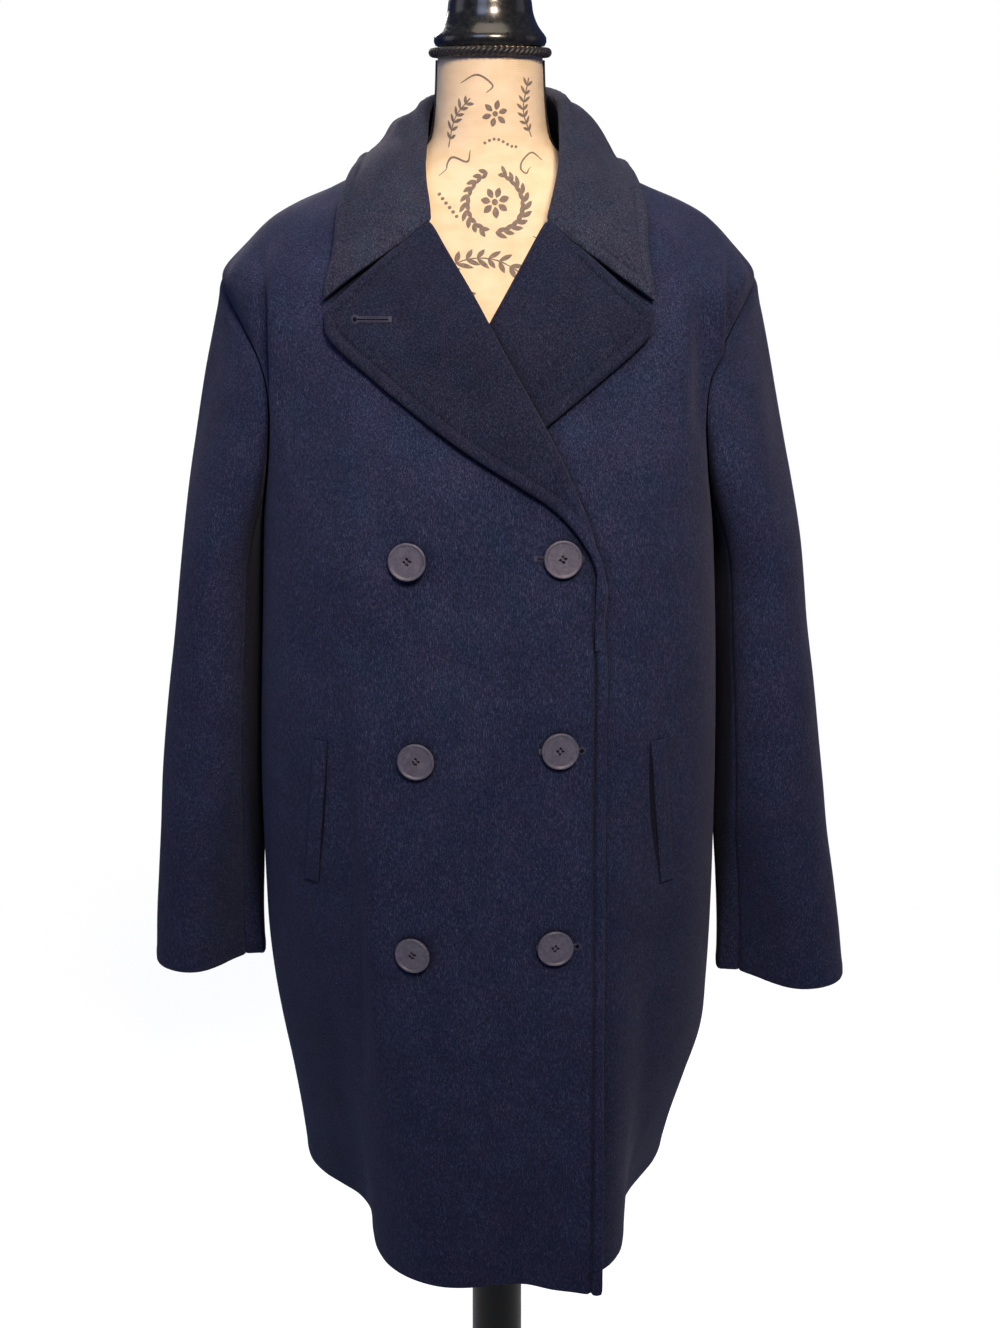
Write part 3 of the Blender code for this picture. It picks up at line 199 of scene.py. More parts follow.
# A smooth function of height through one column of a table, that overshoots nothing.
def tableCurve(rows, column):
    rows = sorted(rows)
    heights, values = [row.height for row in rows], [getattr(row, column) for row in rows]
    spans = [b - a for a, b in zip(heights, heights[1:])]
    rises = [(b - a) / s for a, b, s in zip(values, values[1:], spans)]
    slopes = [rises[0]]
    for before, after, left, right in zip(rises, rises[1:], spans, spans[1:]):
        one, two = 2.0 * right + left, right + 2.0 * left
        slopes.append((one + two) / (one / before + two / after) if before * after > 0.0 else 0.0)
    slopes.append(rises[-1])

    def curve(height):
        height = min(heights[-1], max(heights[0], height))
        i = 0
        while i < len(spans) - 1 and height > heights[i + 1]:
            i += 1
        t = (height - heights[i]) / spans[i]
        return hermite(values[i], spans[i] * slopes[i], values[i + 1], spans[i] * slopes[i + 1], t)

    return curve


# A point on a smooth curve through the points, share going from 0 to 1.
def spline(points, share):
    place = share * (len(points) - 1)
    i = min(len(points) - 2, int(place))
    a, b = Vector(points[i]), Vector(points[i + 1])
    before = Vector(points[i - 1]) if i else a * 2 - b
    after = Vector(points[i + 2]) if i + 2 < len(points) else b * 2 - a
    return hermite(a, (b - before) / 2, b, (after - a) / 2, place - i)


# Where between low and high a rising value reaches the wanted one.
def found(value, wanted, low, high, steps=40):
    for _ in range(steps):
        middle = (low + high) / 2
        low, high = (middle, high) if value(middle) < wanted else (low, middle)
    return (low + high) / 2


# The direction, turned about if it points against the other one.
def turnedTo(way, like):
    return way if way.dot(like) > 0 else -way


# Points on a curve, spaced evenly along it, as many cells as asked for.
def evenly(curve, cells, samples=160):
    points = [curve(k / samples) for k in range(samples + 1)]
    lengths = np.cumsum([0.0] + [(b - a).length for a, b in zip(points, points[1:])])
    places = np.interp(np.linspace(0.0, lengths[-1], cells + 1), lengths, range(samples + 1))
    return [points[int(p)].lerp(points[min(samples, int(p) + 1)], p % 1.0) for p in places]


bodyCurves = {name: tableCurve(bodySections, name) for name in bodySection._fields[1:]}


# How far the folds take the cloth in at this place.
def foldDepth(turn, height):
    depth = 0.0
    for fold in skirtFolds:
        if height < fold.start:
            outward = 1 if fold.turn > 0 else -1
            away = (turn - fold.turn) * outward
            spread = fold.toFront if away < 0 else fold.toBack
            grown = ((fold.start - height) / (fold.start - hemZ)) ** fold.growth
            depth += fold.depth * grown * exp(-0.5 * (away / spread) ** 2)
    return depth


# A point of a rounded section, at this angle from the centre front.
def sectionPoint(at, angle, wide, height, cut=0.0):
    sine, cosine = sin(angle), cos(angle)
    deep = at["middle"] - at["front"] if cosine > 0 else at["back"] - at["middle"]
    power = at["square"]
    radius = (abs(sine / wide) ** power + abs(cosine / deep) ** power) ** (-1.0 / power) - cut
    return Vector((radius * sine, at["middle"] - radius * cosine, height))


# The outer face of the coat's body: turn in degrees from the centre front, plus is the
# wearer's left.
def bodyPoint(turn, height):
    at = {name: curve(height) for name, curve in bodyCurves.items()}
    turn = (turn + 180.0) % 360.0 - 180.0
    wide = at["left"] if turn > 0 else at["right"]
    return sectionPoint(at, radians(turn), wide, height, foldDepth(turn, height)) + Vector((coatX, 0, 0))


def bodyNormal(turn, height):
    across = bodyPoint(turn + 0.5, height) - bodyPoint(turn - 0.5, height)
    upward = bodyPoint(turn, height + slopeStep) - bodyPoint(turn, height - slopeStep)
    return across.cross(upward).normalized()


def mirrored(point):
    return Vector((2 * coatX - point.x, point.y, point.z))


# A point of either half of the body as it would lie on the wearer's left.
def ownPoint(side, turn, height):
    point = bodyPoint(side * turn, height)
    return point if side > 0 else mirrored(point)


def turnOf(point):
    middle = bodyCurves["middle"](point.z)
    return degrees(atan2(point.x - coatX, middle - point.y))


# The turn at which the front of the coat has this x from its centre line.
def frontTurn(x, height):
    return found(lambda turn: bodyPoint(turn, height).x - coatX, x, -80.0, 80.0)


# The point, moved along the body's normal until its lift is between these.
def heldBetween(point, least, most):
    for _ in range(4):
        turn = turnOf(point)
        normal = bodyNormal(turn, point.z)
        lift = (point - bodyPoint(turn, point.z)).dot(normal)
        wanted = min(most, max(least, lift))
        if wanted == lift:
            break
        point = point + normal * (wanted - lift)
    return point


rollCorners, lapelCorners = ([(*spot, 0.0) for spot in line] for line in (rollLine, lapelEdge))
clothInLeaf = 2 * layer + seamGap
rollTop = 2 * rollRadius - clothInLeaf  # visible face at the roll, above the panel
overFront = wall + 0.0024  # the right front over the left front
overLapel = rollTop + clothInLeaf + 0.0012  # and over the left lapel's roll


def rollX(height):
    return spline(rollCorners, found(lambda share: spline(rollCorners, share).y, height, 0.0, 1.0, 30)).x


def lapelLow(x):
    return float(np.interp(x, *zip(*lapelEdge[:5])))


# How far the right front's outer face stands off where it laps over the left front.
def overlapLift(x, height):
    liftOver = overFront * ease(-0.135, -0.1, x) * ease(1.365, 1.3, height)
    across = ease(-0.075, -0.012, x - rollX(height))
    above = ease(-0.078, -0.012, height - lapelLow(x))
    lapel = (overLapel - overFront) * across * above * ease(1.345, 1.3, height)
    return liftOver + lapel + edgeKick(x, height)


def edgeKick(x, height):
    share = max(0.0, (x - 0.02) / (frontEdge - 0.02))
    return kickReach * share * share * ease(0.68, hemZ - 0.01, height)


# Outer face of a front: the left one is the body surface, the right one laps over.
def baseLift(side, x, height):
    return overlapLift(x, height) if side < 0 else 0.0


# x of the left front's own free edge: the front edge, then just short of the roll.
def panelEdgeX(height):
    return rollX(height) + rollRadius * ease(breakZ - edgeRetreat, breakZ, height)


# A grid of points between four edges given as lists: rows from bottom to top.
def coons(bottom, top, start, end):
    grid = []
    for j, (first, last) in enumerate(zip(start, end)):
        v = j / (len(start) - 1)
        row = []
        for i, (low, high) in enumerate(zip(bottom, top)):
            u = i / (len(bottom) - 1)
            corners = mix(mix(bottom[0], bottom[-1], u), mix(top[0], top[-1], u), v)
            row.append(mix(low, high, v) + mix(first, last, u) - corners)
        grid.append(row)
    return grid


def gridNormals(grid, closed=False):
    rows, columns = len(grid), len(grid[0])
    normals = []
    for j in range(rows):
        normals.append([])
        for i in range(columns):
            right, left = ((i + 1) % columns, i - 1) if closed else (min(columns - 1, i + 1), max(0, i - 1))
            upward = grid[min(rows - 1, j + 1)][i] - grid[max(0, j - 1)][i]
            normals[-1].append((grid[j][right] - grid[j][left]).cross(upward).normalized())
    return normals


def shifted(grid, normals, distance):
    return [[p + n * distance for p, n in zip(*rows)] for rows in zip(grid, normals)]


# A seam's turn, moved half a seam's gap towards one panel.
def seamTurn(turn, height, towards):
    place = bodyPoint(turn, height)
    radius = hypot(place.x - coatX, place.y - bodyCurves["middle"](height))
    return turn + towards * degrees(0.6 * seamGap / radius)


def markedPoints(side, marks, cells):
    corners = [(*mark, 0.0) for mark in marks]
    return evenly(lambda share: ownPoint(side, *spline(corners, share)[:2]), cells)


def sidePoints(side, towards):
    heights = [mix(hemZ, armpitZ, k / sideRows) for k in range(sideRows + 1)]
    return [ownPoint(side, seamTurn(sideTurn, z, towards), z) for z in heights]


def shoulderPoints(side, towards):
    line = evenly(lambda share: ownPoint(side, 90.0, mix(shoulderZ, neckZ, share)), shoulderColumns)
    return [ownPoint(side, seamTurn(90.0, p.z, towards), p.z) for p in line]


# The start of a panel's side up to the shoulder, and its shoulder seam.
def panelSide(side, armhole, towards):
    shoulder = shoulderPoints(side, towards)
    holePoints = markedPoints(side, armhole, armholeRows)[::-1]
    return sidePoints(side, towards) + holePoints[1:-1] + [shoulder[0]], shoulder


def frontPatch(side):
    start, shoulder = panelSide(side, armholeFront, -1)
    gorgeZ = rollLine[-1].height

    def edge(height):
        x = panelEdgeX(height) + (0.3 * edgeKick(-panelEdgeX(height), height) if side < 0 else 0.0)
        return ownPoint(side, side * frontTurn(side * x, height), height)

    free = [edge(mix(hemZ, breakZ - edgeTurn, k / (edgeRows - 1))) for k in range(edgeRows)]
    free += [edge(mix(breakZ, gorgeZ, k / rollRows)) for k in range(rollRows + 1)]
    neck = markedPoints(side, necklineFront + (seamMark(turnOf(free[-1]), gorgeZ),), neckColumns)
    lower = []
    for first, last in zip(start[: sideRows + 1], free):
        a, b = turnOf(first), turnOf(last)
        lower.append(evenly(lambda s: ownPoint(side, mix(a, b, s), mix(first.z, last.z, s)), frontColumns))
    return lower + coons(lower[-1], shoulder + neck[1:], start[sideRows:], free[sideRows:])[1:]


def backPatch():
    halves = []
    for side in (1, -1):
        start, shoulder = panelSide(side, armholeBack, 1)
        halves.append((start, shoulder + markedPoints(side, necklineBack, backNeckColumns // 2)[1:]))
    (left, leftTop), (right, rightTop) = halves
    right = [mirrored(p) for p in right]
    lower = []
    for first, last in zip(left[: sideRows + 1], right):
        a, b = turnOf(first), turnOf(last) + 360.0
        lower.append(evenly(lambda s: bodyPoint(mix(a, b, s), first.z), backColumns))
    top = leftTop + [mirrored(p) for p in rightTop[-2::-1]]
    return lower + coons(lower[-1], top, left[sideRows:], right[sideRows:])[1:]


# A patch laid on its own half of the body and lifted, with the directions out of it.
def laid(grid, side, lift):
    result, normals = [], []
    for row in grid:
        turns = [(side * turnOf(point), point.z) for point in row]
        normals.append([bodyNormal(*turn) for turn in turns])
        places = [bodyPoint(*turn) for turn in turns]
        result.append([p + n * lift(p.x - coatX, p.z) for p, n in zip(places, normals[-1])])
    return result, normals


leafColumns = 6
rollSteps = 4


# Points round a roll of cloth from its under side to its top, and the directions from them to
# its middle. past leads over the roll and outward up to its top.
def roundRoll(middle, past, outward, radius=rollRadius):
    angles = [pi * k / rollSteps for k in range(rollSteps + 1)]
    directions = [past * sin(angle) - outward * cos(angle) for angle in angles]
    return [middle + way * radius for way in directions], [-way for way in directions]


# The lapel from the top of its roll to its edge, added to a row and the directions through it.
def addLeaf(row, side, start, end, first, last):
    for i in range(1, leafColumns + 1):
        part = i / leafColumns
        x, z = mix(start[0], end[0], part), mix(start[1], end[1], part)
        row[0].append(onFront(side, x, z, mix(first, last, ease(0.0, 0.8, part))))
        row[1].append(-bodyNormal(frontTurn(side * x, z), z))
    return row


# A point at this lift off a front, its x given as on the left one.
def onFront(side, x, height, lift):
    x = side * x
    turn = frontTurn(x, height)
    total = baseLift(side, x, height) + lift
    return bodyPoint(turn, height) + bodyNormal(turn, height) * total


# Below the break the roll shrinks onto the front's edge and dies away: height below the
# break, and how much of the roll's size is left.
tailRow = namedtuple("tailRow", "below size")
tailRows = tuple(tailRow(*row) for row in (
    (0.05, 0.0), (0.04, 0.1), (0.03, 0.28), (0.02, 0.55), (0.009, 0.86),
))
tailBand = 0.009  # width of the edge that it becomes
tailEnd = dict(radius=0.0017, under=0.0029, lift=0.0005, sunk=0.0006)


def lapelTail(side):
    rows = []
    for below, size in tailRows:
        height = breakZ - below
        edgeX, inX = panelEdgeX(height), rollX(height)
        outward = bodyNormal(frontTurn(side * edgeX, height), height)
        past = turnedTo(Vector((0, 0, 1)).cross(outward).normalized(), Vector((-side, 0, 0)))
        radius = max(tailEnd["radius"], edgeX - inX)
        under = mix(tailEnd["under"], clothInLeaf, size)
        sunk = edgeX - inX - radius - tailEnd["sunk"] * (1 - size) + 1.4 * seamGap * size
        middle = onFront(side, edgeX, height, 0.0) + past * sunk + outward * (radius - under)
        row = roundRoll(middle, past, outward, radius)
        spot = (mix(inX + tailBand, lapelEdge[0].x, size), height + (lapelEdge[0].height - breakZ) * size)
        rows.append(addLeaf(row, side, (edgeX, height), spot, 2 * radius - under,
                            mix(tailEnd["lift"], leafLift, size)))
    return [list(grid) for grid in zip(*rows)]


# The visible face of a lapel and the directions through its cloth: rows from the break up to
# the gorge, columns from the panel's free edge round the roll to the lapel's edge.
def lapelGrid(side, panel):
    outer, normals = panel
    first, last = edgeRows, edgeRows + rollRows
    finely = evenly(lambda share: spline(lapelCorners, share), 200)
    rows = []
    for row in range(first, last + 1):
        share = (row - first) / rollRows  # the spots on the edge crowd together at both ends
        spot = finely[round(200 * (share - 0.065 * sin(2 * pi * share)))]
        corner, outward = outer[row][-1], normals[row][-1]
        up = (outer[min(row + 1, last)][-1] - outer[row - 1][-1]).normalized()
        past = turnedTo(up.cross(outward).normalized(), Vector((-side, 0, 0)))
        foot = corner + past * (1.4 * seamGap) + up * (0.002 * (row == first) - seamGap * (row == last))
        made = roundRoll(foot + outward * (rollRadius - clothInLeaf), past, outward)
        start = made[0][-1] - outward * (rollTop + baseLift(side, corner.x - coatX, corner.z))
        rows.append(addLeaf(made, side, (side * (start.x - coatX), start.z), spot, rollTop, leafLift))
    return [list(grid) for grid in zip(*rows)]


standCells = 2


# A smooth function of the neckline's row through a column of the collar's table and on to its
# front end, the same on both sides of the centre back.
def collarCurve(column, end):
    last = float(backNeckColumns // 2 + neckColumns)
    rows = [-collarStations[1].row, *(station.row for station in collarStations), last]
    points = [Vector(getattr(station, column)) for station in collarStations] + [end]
    points.insert(0, Vector((-points[1].x, points[1].y, points[1].z)))
    return lambda row: spline(points, np.interp(row, rows, range(len(rows))) / (len(rows) - 1))


def bowAt(side, row):
    bows = [station.bowLeft if side > 0 else station.bowRight for station in collarStations]
    return float(np.interp(row, [station.row for station in collarStations], bows))


# One half of the neckline from the centre back to the gorge, with the directions out of the
# cloth and on past its edge.
def neckline(side, grids):
    places = []
    for k in range(backNeckColumns // 2):
        places.append([grid[-1][backColumns // 2 - side * k] for grid in grids[0]])
    places += [[grid[-1][k] for grid in grids[side]] for k in range(shoulderColumns, frontColumns + 1)]
    result = []
    for k, (point, outward) in enumerate(places):
        ahead = places[min(k + 1, len(places) - 1)][0]
        behind = places[k - 1][0] if k else mirrored(places[1][0])
        past = turnedTo((ahead - behind).cross(outward).normalized(), Vector((0, 0, 1)))
        result.append((point, outward, past))
    return result


# The collar's front end: the lapel's top edge moved up by a seam's gap, and past the notch a
# little more.
def collarEnd(lapel):
    grid, through = lapel
    row = []
    for i, (point, under) in enumerate(zip(grid[-1], grid[-2])):
        part = max(0, i - rollSteps) / leafColumns
        opens = notchOpens * max(0.0, (part - notchShare) / (1 - notchShare))
        row.append(point + (point - under).normalized() * (2.2 * seamGap + opens))
    return row, through[-1]


# Rows of the collar's visible face from the centre back to one front end, and the directions
# through its cloth where they are set by what it is sewn to.
def collarHalf(side, grids, lapel):
    line = neckline(side, grids)
    last = len(line) - 1
    end, endThrough = collarEnd(lapel)
    ends = [end[rollSteps // 2].copy(), end[-1].copy()]
    frontUp = -endThrough[rollSteps // 2]
    for place in ends:
        place.x = side * (place.x - coatX)
    folds, edges = collarCurve("fold", ends[0]), collarCurve("edge", ends[1])
    rows, through = [], []
    for k in range(last):
        corner, outward, past = line[k]
        foot = corner + past * (1.4 * seamGap) - outward * clothInLeaf
        fold, edge = folds(k), edges(k)
        tangent = (folds(k + 0.5) - folds(k - 0.5)).normalized()
        tangent.x *= side
        share = k / last
        lean = collarLean * (1 - share**2)
        tilt = collarTilt * 4 * share * (1 - share) if side < 0 else 0.0
        for place in (fold, edge):
            place.x = coatX + side * place.x + lean
        fold.z -= tilt
        up = Vector((0, 0, 1)).lerp(frontUp, ease(0.3, 0.95, share))
        up = (up - tangent * up.dot(tangent)).normalized()
        out = turnedTo(tangent.cross(up), outward)
        roll, inward = roundRoll(fold - up * rollRadius, up, out)
        points = [foot.lerp(roll[0], step / standCells) for step in range(standCells)]
        points += roll
        raised = turnedTo((edge - roll[-1]).cross(tangent).normalized(), up + out)
        for i in range(1, leafColumns + 1):
            part = i / leafColumns
            bow = bowAt(side, k) * sin(pi * part)
            points.append(collarCleared(side, roll[-1].lerp(edge, part) + raised * bow))
        rows.append(points)
        through.append({0: outward, 1: (outward + inward[0]).normalized()})
        through[-1].update({standCells + i: d for i, d in enumerate(inward)})
    corner, outward, past = line[last]
    along = (line[last - 1][0] - corner).normalized()
    start = end[0] + along * 0.004
    rows.append([start, (start + end[0]) / 2] + end)
    through.append({0: outward, 1: outward})
    through[-1].update({standCells + i: d for i, d in enumerate(endThrough)})
    return rows, through


# The collar's leaf pushed out until it clears the cloth under it.
def collarCleared(side, point):
    if point.z > bodySections[-1].height:
        return point
    beneath = baseLift(side, point.x - coatX, point.z) if point.y < 0.0 else 0.0
    return heldBetween(point, beneath + leafLift + 0.003, inf)


# A point of the sleeve below the armhole, as on the left; angle 0 is its outer line and 90 the
# front.
def sleeveRing(curves, angle, height, cuff):
    inner, outer = curves["inner"](height), curves["outer"](height)
    middle, half = curves["middle"](height), curves["half"](height)
    sine, cosine = sin(radians(angle)), cos(radians(angle))
    radius = (abs(cosine) ** 2.3 + abs(sine) ** 2.3) ** (-1.0 / 2.3)
    away = (angle - 132.0) / 24.0
    dent = cuffFold * ease(0.93, cuff, height) * exp(-0.5 * away * away)
    x = (inner + outer) / 2 + (outer - inner) / 2 * radius * cosine
    y = middle - half * radius * sine + dent * 1.6
    return Vector((coatX + x + 0.2 * dent, y, height))


# A whole armhole, from the shoulder down the front and up the back, with the directions out of
# the cloth and on into the opening.
def armholeRing(side):
    ring = markedPoints(side, armholeFront, armholeRows)
    ring += markedPoints(side, armholeBack, armholeRows)[-2:0:-1]
    middle = sum(ring, Vector()) / len(ring)
    result = []
    for k, point in enumerate(ring):
        normal = bodyNormal(side * turnOf(point), point.z)
        normal.x *= side
        into = normal.cross(ring[(k + 1) % len(ring)] - ring[k - 1]).normalized()
        result.append((point, normal, turnedTo(into, middle - point)))
    return result


# Lines down the sleeve's outer face, as on the left, one for each armhole point.
def sleeveColumns(side, rings):
    curves = {name: tableCurve(rings, name) for name in sleeveRingRow._fields[1:]}
    first, cuff = rings[0].height, rings[-1].height
    ring = armholeRing(side)
    columns = []
    for k, (point, normal, into) in enumerate(ring):
        angle = 360.0 * k / len(ring)
        under = ease(0.62, 0.95, (1 - cos(radians(angle))) / 2)
        begin = point + into * (1.4 * seamGap * (1 - under)) + normal * (2.5 * seamGap * under)
        end = sleeveRing(curves, angle, first, cuff)
        falling = (sleeveRing(curves, angle, first - 0.01, cuff) - end).normalized()
        length = (end - begin).length
        leave = (normal * 0.3 + into * 0.15 * (1 - under) + Vector((0, 0, -0.9))).normalized()
        line = [hermite(begin, leave * length * 0.85, end, falling * length * 1.1, j / sleeveCapRows)
                for j in range(1, sleeveCapRows + 1)]
        line += [sleeveRing(curves, angle, mix(first, cuff, j / sleeveRows), cuff)
                 for j in range(1, sleeveRows + 1)]
        columns.append([begin] + [besideBody(place, side) for place in line])
    return columns


# The point, moved sideways until it stands clear of the coat's side.
def besideBody(point, side):
    for _ in range(6):
        turn = turnOf(point)
        short = ownPoint(side, turn, point.z).x + sleeveClear - point.x
        if short <= 0 or turn < 20.0 or turn > 160.0:
            break
        point = point + Vector((short, 0, 0))
    return point


# Finer grids of points, as arrays with a row, a column and x, y, z.
def asArray(grid):
    return np.array([[tuple(point) for point in row] for row in grid])


# Weights of a smooth curve through evenly numbered points, at each of the places.
def curveWeights(places, cells):
    weights = np.zeros((len(places), cells + 1))
    for k, place in enumerate(places):
        i = min(cells - 1, max(0, int(place)))
        t = place - i
        shares = {
            i - 1: -0.5 * t + t * t - 0.5 * t**3,
            i: 1 - 2.5 * t * t + 1.5 * t**3,
            i + 1: 0.5 * t + 2 * t * t - 1.5 * t**3,
            i + 2: -0.5 * t * t + 0.5 * t**3,
        }
        for at, share in shares.items():
            if at < 0:  # the curve goes on straight past its ends
                weights[k, 0] += 2 * share
                weights[k, 1] -= share
            elif at > cells:
                weights[k, cells] += 2 * share
                weights[k, cells - 1] -= share
            else:
                weights[k, at] += share
    return weights


# Distances from an edge that is topstitched, sewn or plain where points are wanted.
stitchedSpots = (0, 0.0007, 0.0016, 0.0028, 0.0041, 0.0053, 0.0063, 0.0072, 0.008, 0.0088, 0.0097, 0.0108,
                 0.0122, 0.0145, 0.018)
sewnSpots = (0, 0.0009, 0.002, 0.0034, 0.0052, 0.008, 0.0115)
plainSpots = (0, 0.0015, 0.0035, 0.0065)


def ruler(grid, axis):
    steps = np.linalg.norm(np.diff(grid, axis=axis), axis=-1).mean(axis=1 - axis)
    return np.concatenate(([0.0], np.cumsum(steps)))


def crowded(marks, middles, startSpots, endSpots):
    length = marks[-1]
    shrink = min(1.0, 0.8 * length / (startSpots[-1] + endSpots[-1]))
    start, end = startSpots[-1] * shrink, length - endSpots[-1] * shrink
    middle = [start + (end - start) * k / middles for k in range(1, middles)]
    spots = [s * shrink for s in startSpots] + middle + [length - s * shrink for s in endSpots[::-1]]
    return np.interp(spots, marks, range(len(marks)))


def splitWeights(places, cells, kinks):
    weights = np.zeros((len(places), cells + 1))
    borders = [0, *kinks, cells]
    for low, high in zip(borders, borders[1:]):
        inside = (places >= low) & (places <= high)
        weights[inside] = 0
        weights[inside, low : high + 1] = curveWeights(places[inside] - low, high - low)
    return weights


# Grids of one panel made finer together. Near its sides a line may bend sharply at the
# kinks, where a seam turns a corner; inside the panel the cloth runs on smoothly.
def finer(grids, rows, middles, startSpots, endSpots, rowKinks=(), columnKinks=(), farSideToo=False):
    rowCells, columnCells = grids[0].shape[0] - 1, grids[0].shape[1] - 1
    columns = np.arange(columnCells + 1)
    share = stepUp(3.0, 0.5, columns)
    if farSideToo:
        share = share + stepUp(columnCells - 3.0, columnCells - 0.5, columns)
    smooth, sharp = curveWeights(rows, rowCells), splitWeights(rows, rowCells, rowKinks)
    lines = []
    for grid in grids:
        soft, kinked = (np.einsum("ri,ijk->rjk", weights, grid) for weights in (smooth, sharp))
        lines.append(soft + (kinked - soft) * share[None, :, None] if rowKinks else soft)
    result = [[] for grid in grids]
    places = []
    for row, place in enumerate(rows):
        steps = np.linalg.norm(np.diff(lines[0][row], axis=0), axis=-1)
        spots = crowded(np.concatenate(([0.0], np.cumsum(steps))), middles, startSpots, endSpots)
        weights = curveWeights(spots, columnCells)
        if columnKinks:
            nearTop = stepUp(rowCells - 2.0, rowCells - 0.2, place)
            weights += (splitWeights(spots, columnCells, columnKinks) - weights) * nearTop
        for made, line in zip(result, lines):
            made.append(weights @ line[row])
        places.append(spots)
    return [np.array(made) for made in result], np.array(places)


def unit(vectors):
    return vectors / np.maximum(1e-12, np.linalg.norm(vectors, axis=-1, keepdims=True))


# Directions out of a face, away from the inner face of its cloth.
def normalsOf(points, inner):
    normals = unit(np.cross(np.gradient(points, axis=1), np.gradient(points, axis=0)))
    return normals if np.einsum("rck,rck->", normals, points - inner) > 0 else -normals


def distanceTo(points, line):
    starts, ways = line[:-1], np.diff(line, axis=0)
    squares = np.maximum(1e-12, np.einsum("mk,mk->m", ways, ways))
    result = []
    for row in points:
        gaps = row[:, None] - starts
        shares = np.clip(np.einsum("nmk,mk->nm", gaps, ways) / squares, 0.0, 1.0)
        result.append(np.linalg.norm(gaps - shares[..., None] * ways, axis=-1).min(axis=1))
    return np.array(result)


def bell(distance, width):
    return np.exp(-((distance / width) ** 2))


def stepUp(start, end, value):
    share = np.clip((value - start) / (end - start), 0.0, 1.0)
    return share * share * (3 - 2 * share)


# Height of cloth near an edge that is turned and topstitched: a full band, then a groove.
edgeBand = dict(puff=0.0013, groove=0.0009, stitchIn=0.0084, grooveWide=0.0018)


def stitchedBand(far):
    stitchIn = edgeBand["stitchIn"]
    band = stepUp(-0.0015, 0.0026, far) * stepUp(stitchIn + 0.001, 0.0048, far)
    return edgeBand["puff"] * band - edgeBand["groove"] * bell(far - stitchIn, edgeBand["grooveWide"])


def sewnValley(far):
    return -0.0011 * bell(far, 0.0016) - 0.0005 * bell(far, 0.006)


# Slow, shallow unevenness of hung wool, in metres, from a few crossed waves.
def softWaves(points, amount, seed):
    dice = random.Random(seed)
    total = np.zeros(points.shape[:-1])
    for wave in range(7):
        length = dice.uniform(0.045, 0.16)
        lean = dice.uniform(-0.5, 0.5)
        way = np.array((cos(lean), sin(lean) * 0.4, 0.35 * sin(lean * 2)))
        total += np.sin(points @ way * 2 * pi / length + dice.uniform(0, 6.3)) * length
    return amount * total / 0.3


# Soft creases and ridges drawn as strokes seen from in front: from one end to the other,
# how wide, and how deep (plus stands out).
crease = namedtuple("crease", "x1 z1 x2 z2 wide deep")


def creased(points, normals, strokes, facing=-1):
    total = np.zeros(points.shape[:-1])
    for stroke in strokes:
        ax, az = stroke.x1, stroke.z1
        dx, dz = stroke.x2 - ax, stroke.z2 - az
        px, pz = points[..., 0] - ax, points[..., 2] - az
        share = (px * dx + pz * dz) / (dx * dx + dz * dz)
        inside = np.clip(share, 0.0, 1.0)
        away = np.hypot(px - inside * dx, pz - inside * dz)
        total += stroke.deep * bell(away, stroke.wide) * stepUp(-0.15, 0.3, share) * stepUp(1.15, 0.7, share)
    return total * stepUp(-0.1, 0.25, facing * normals[..., 1])


def meshPiece(name, points, faces, finish, sharpAbove=55, nodes=()):
    mesh = bpy.data.meshes.new(name)
    mesh.from_pydata([tuple(map(float, point)) for point in points], [], faces)
    form = bmesh.new()
    form.from_mesh(mesh)
    if form.calc_volume(signed=True) < 0:
        mesh.flip_normals()
    form.free()
    mesh.shade_smooth()
    mesh.set_sharp_from_angle(angle=radians(sharpAbove))
    mesh.materials.append(finish)
    piece = placed(name, mesh)
    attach(piece, "root")
    if nodes:
        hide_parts(*nodes)
    return piece


def placed(name, data):
    made = bpy.data.objects.new(name, data)
    scene.collection.objects.link(made)
    return made


# Faces between rings of points, each ring given as a list of their numbers.
def joinRings(rings, closed=False):
    faces = []
    for near, far in zip(rings, rings[1:] + rings[:1] * closed):
        ahead = [*range(1, len(near)), 0]
        faces += [(near[k], near[n], far[n], far[k]) for k, n in enumerate(ahead)]
    return faces


def fan(middle, ring):
    return [(middle, ring[k - 1], ring[k]) for k in range(len(ring))]


# Points and faces of a body through rings of points, with a face at both ends.
def loft(rings, closed=False):
    rings = np.array(rings)
    count, around = rings.shape[:2]
    numbers = np.arange(count * around).reshape(count, around).tolist()
    ends = [] if closed else [numbers[0][::-1], numbers[-1]]
    return rings.reshape(-1, 3), joinRings(numbers, closed) + ends


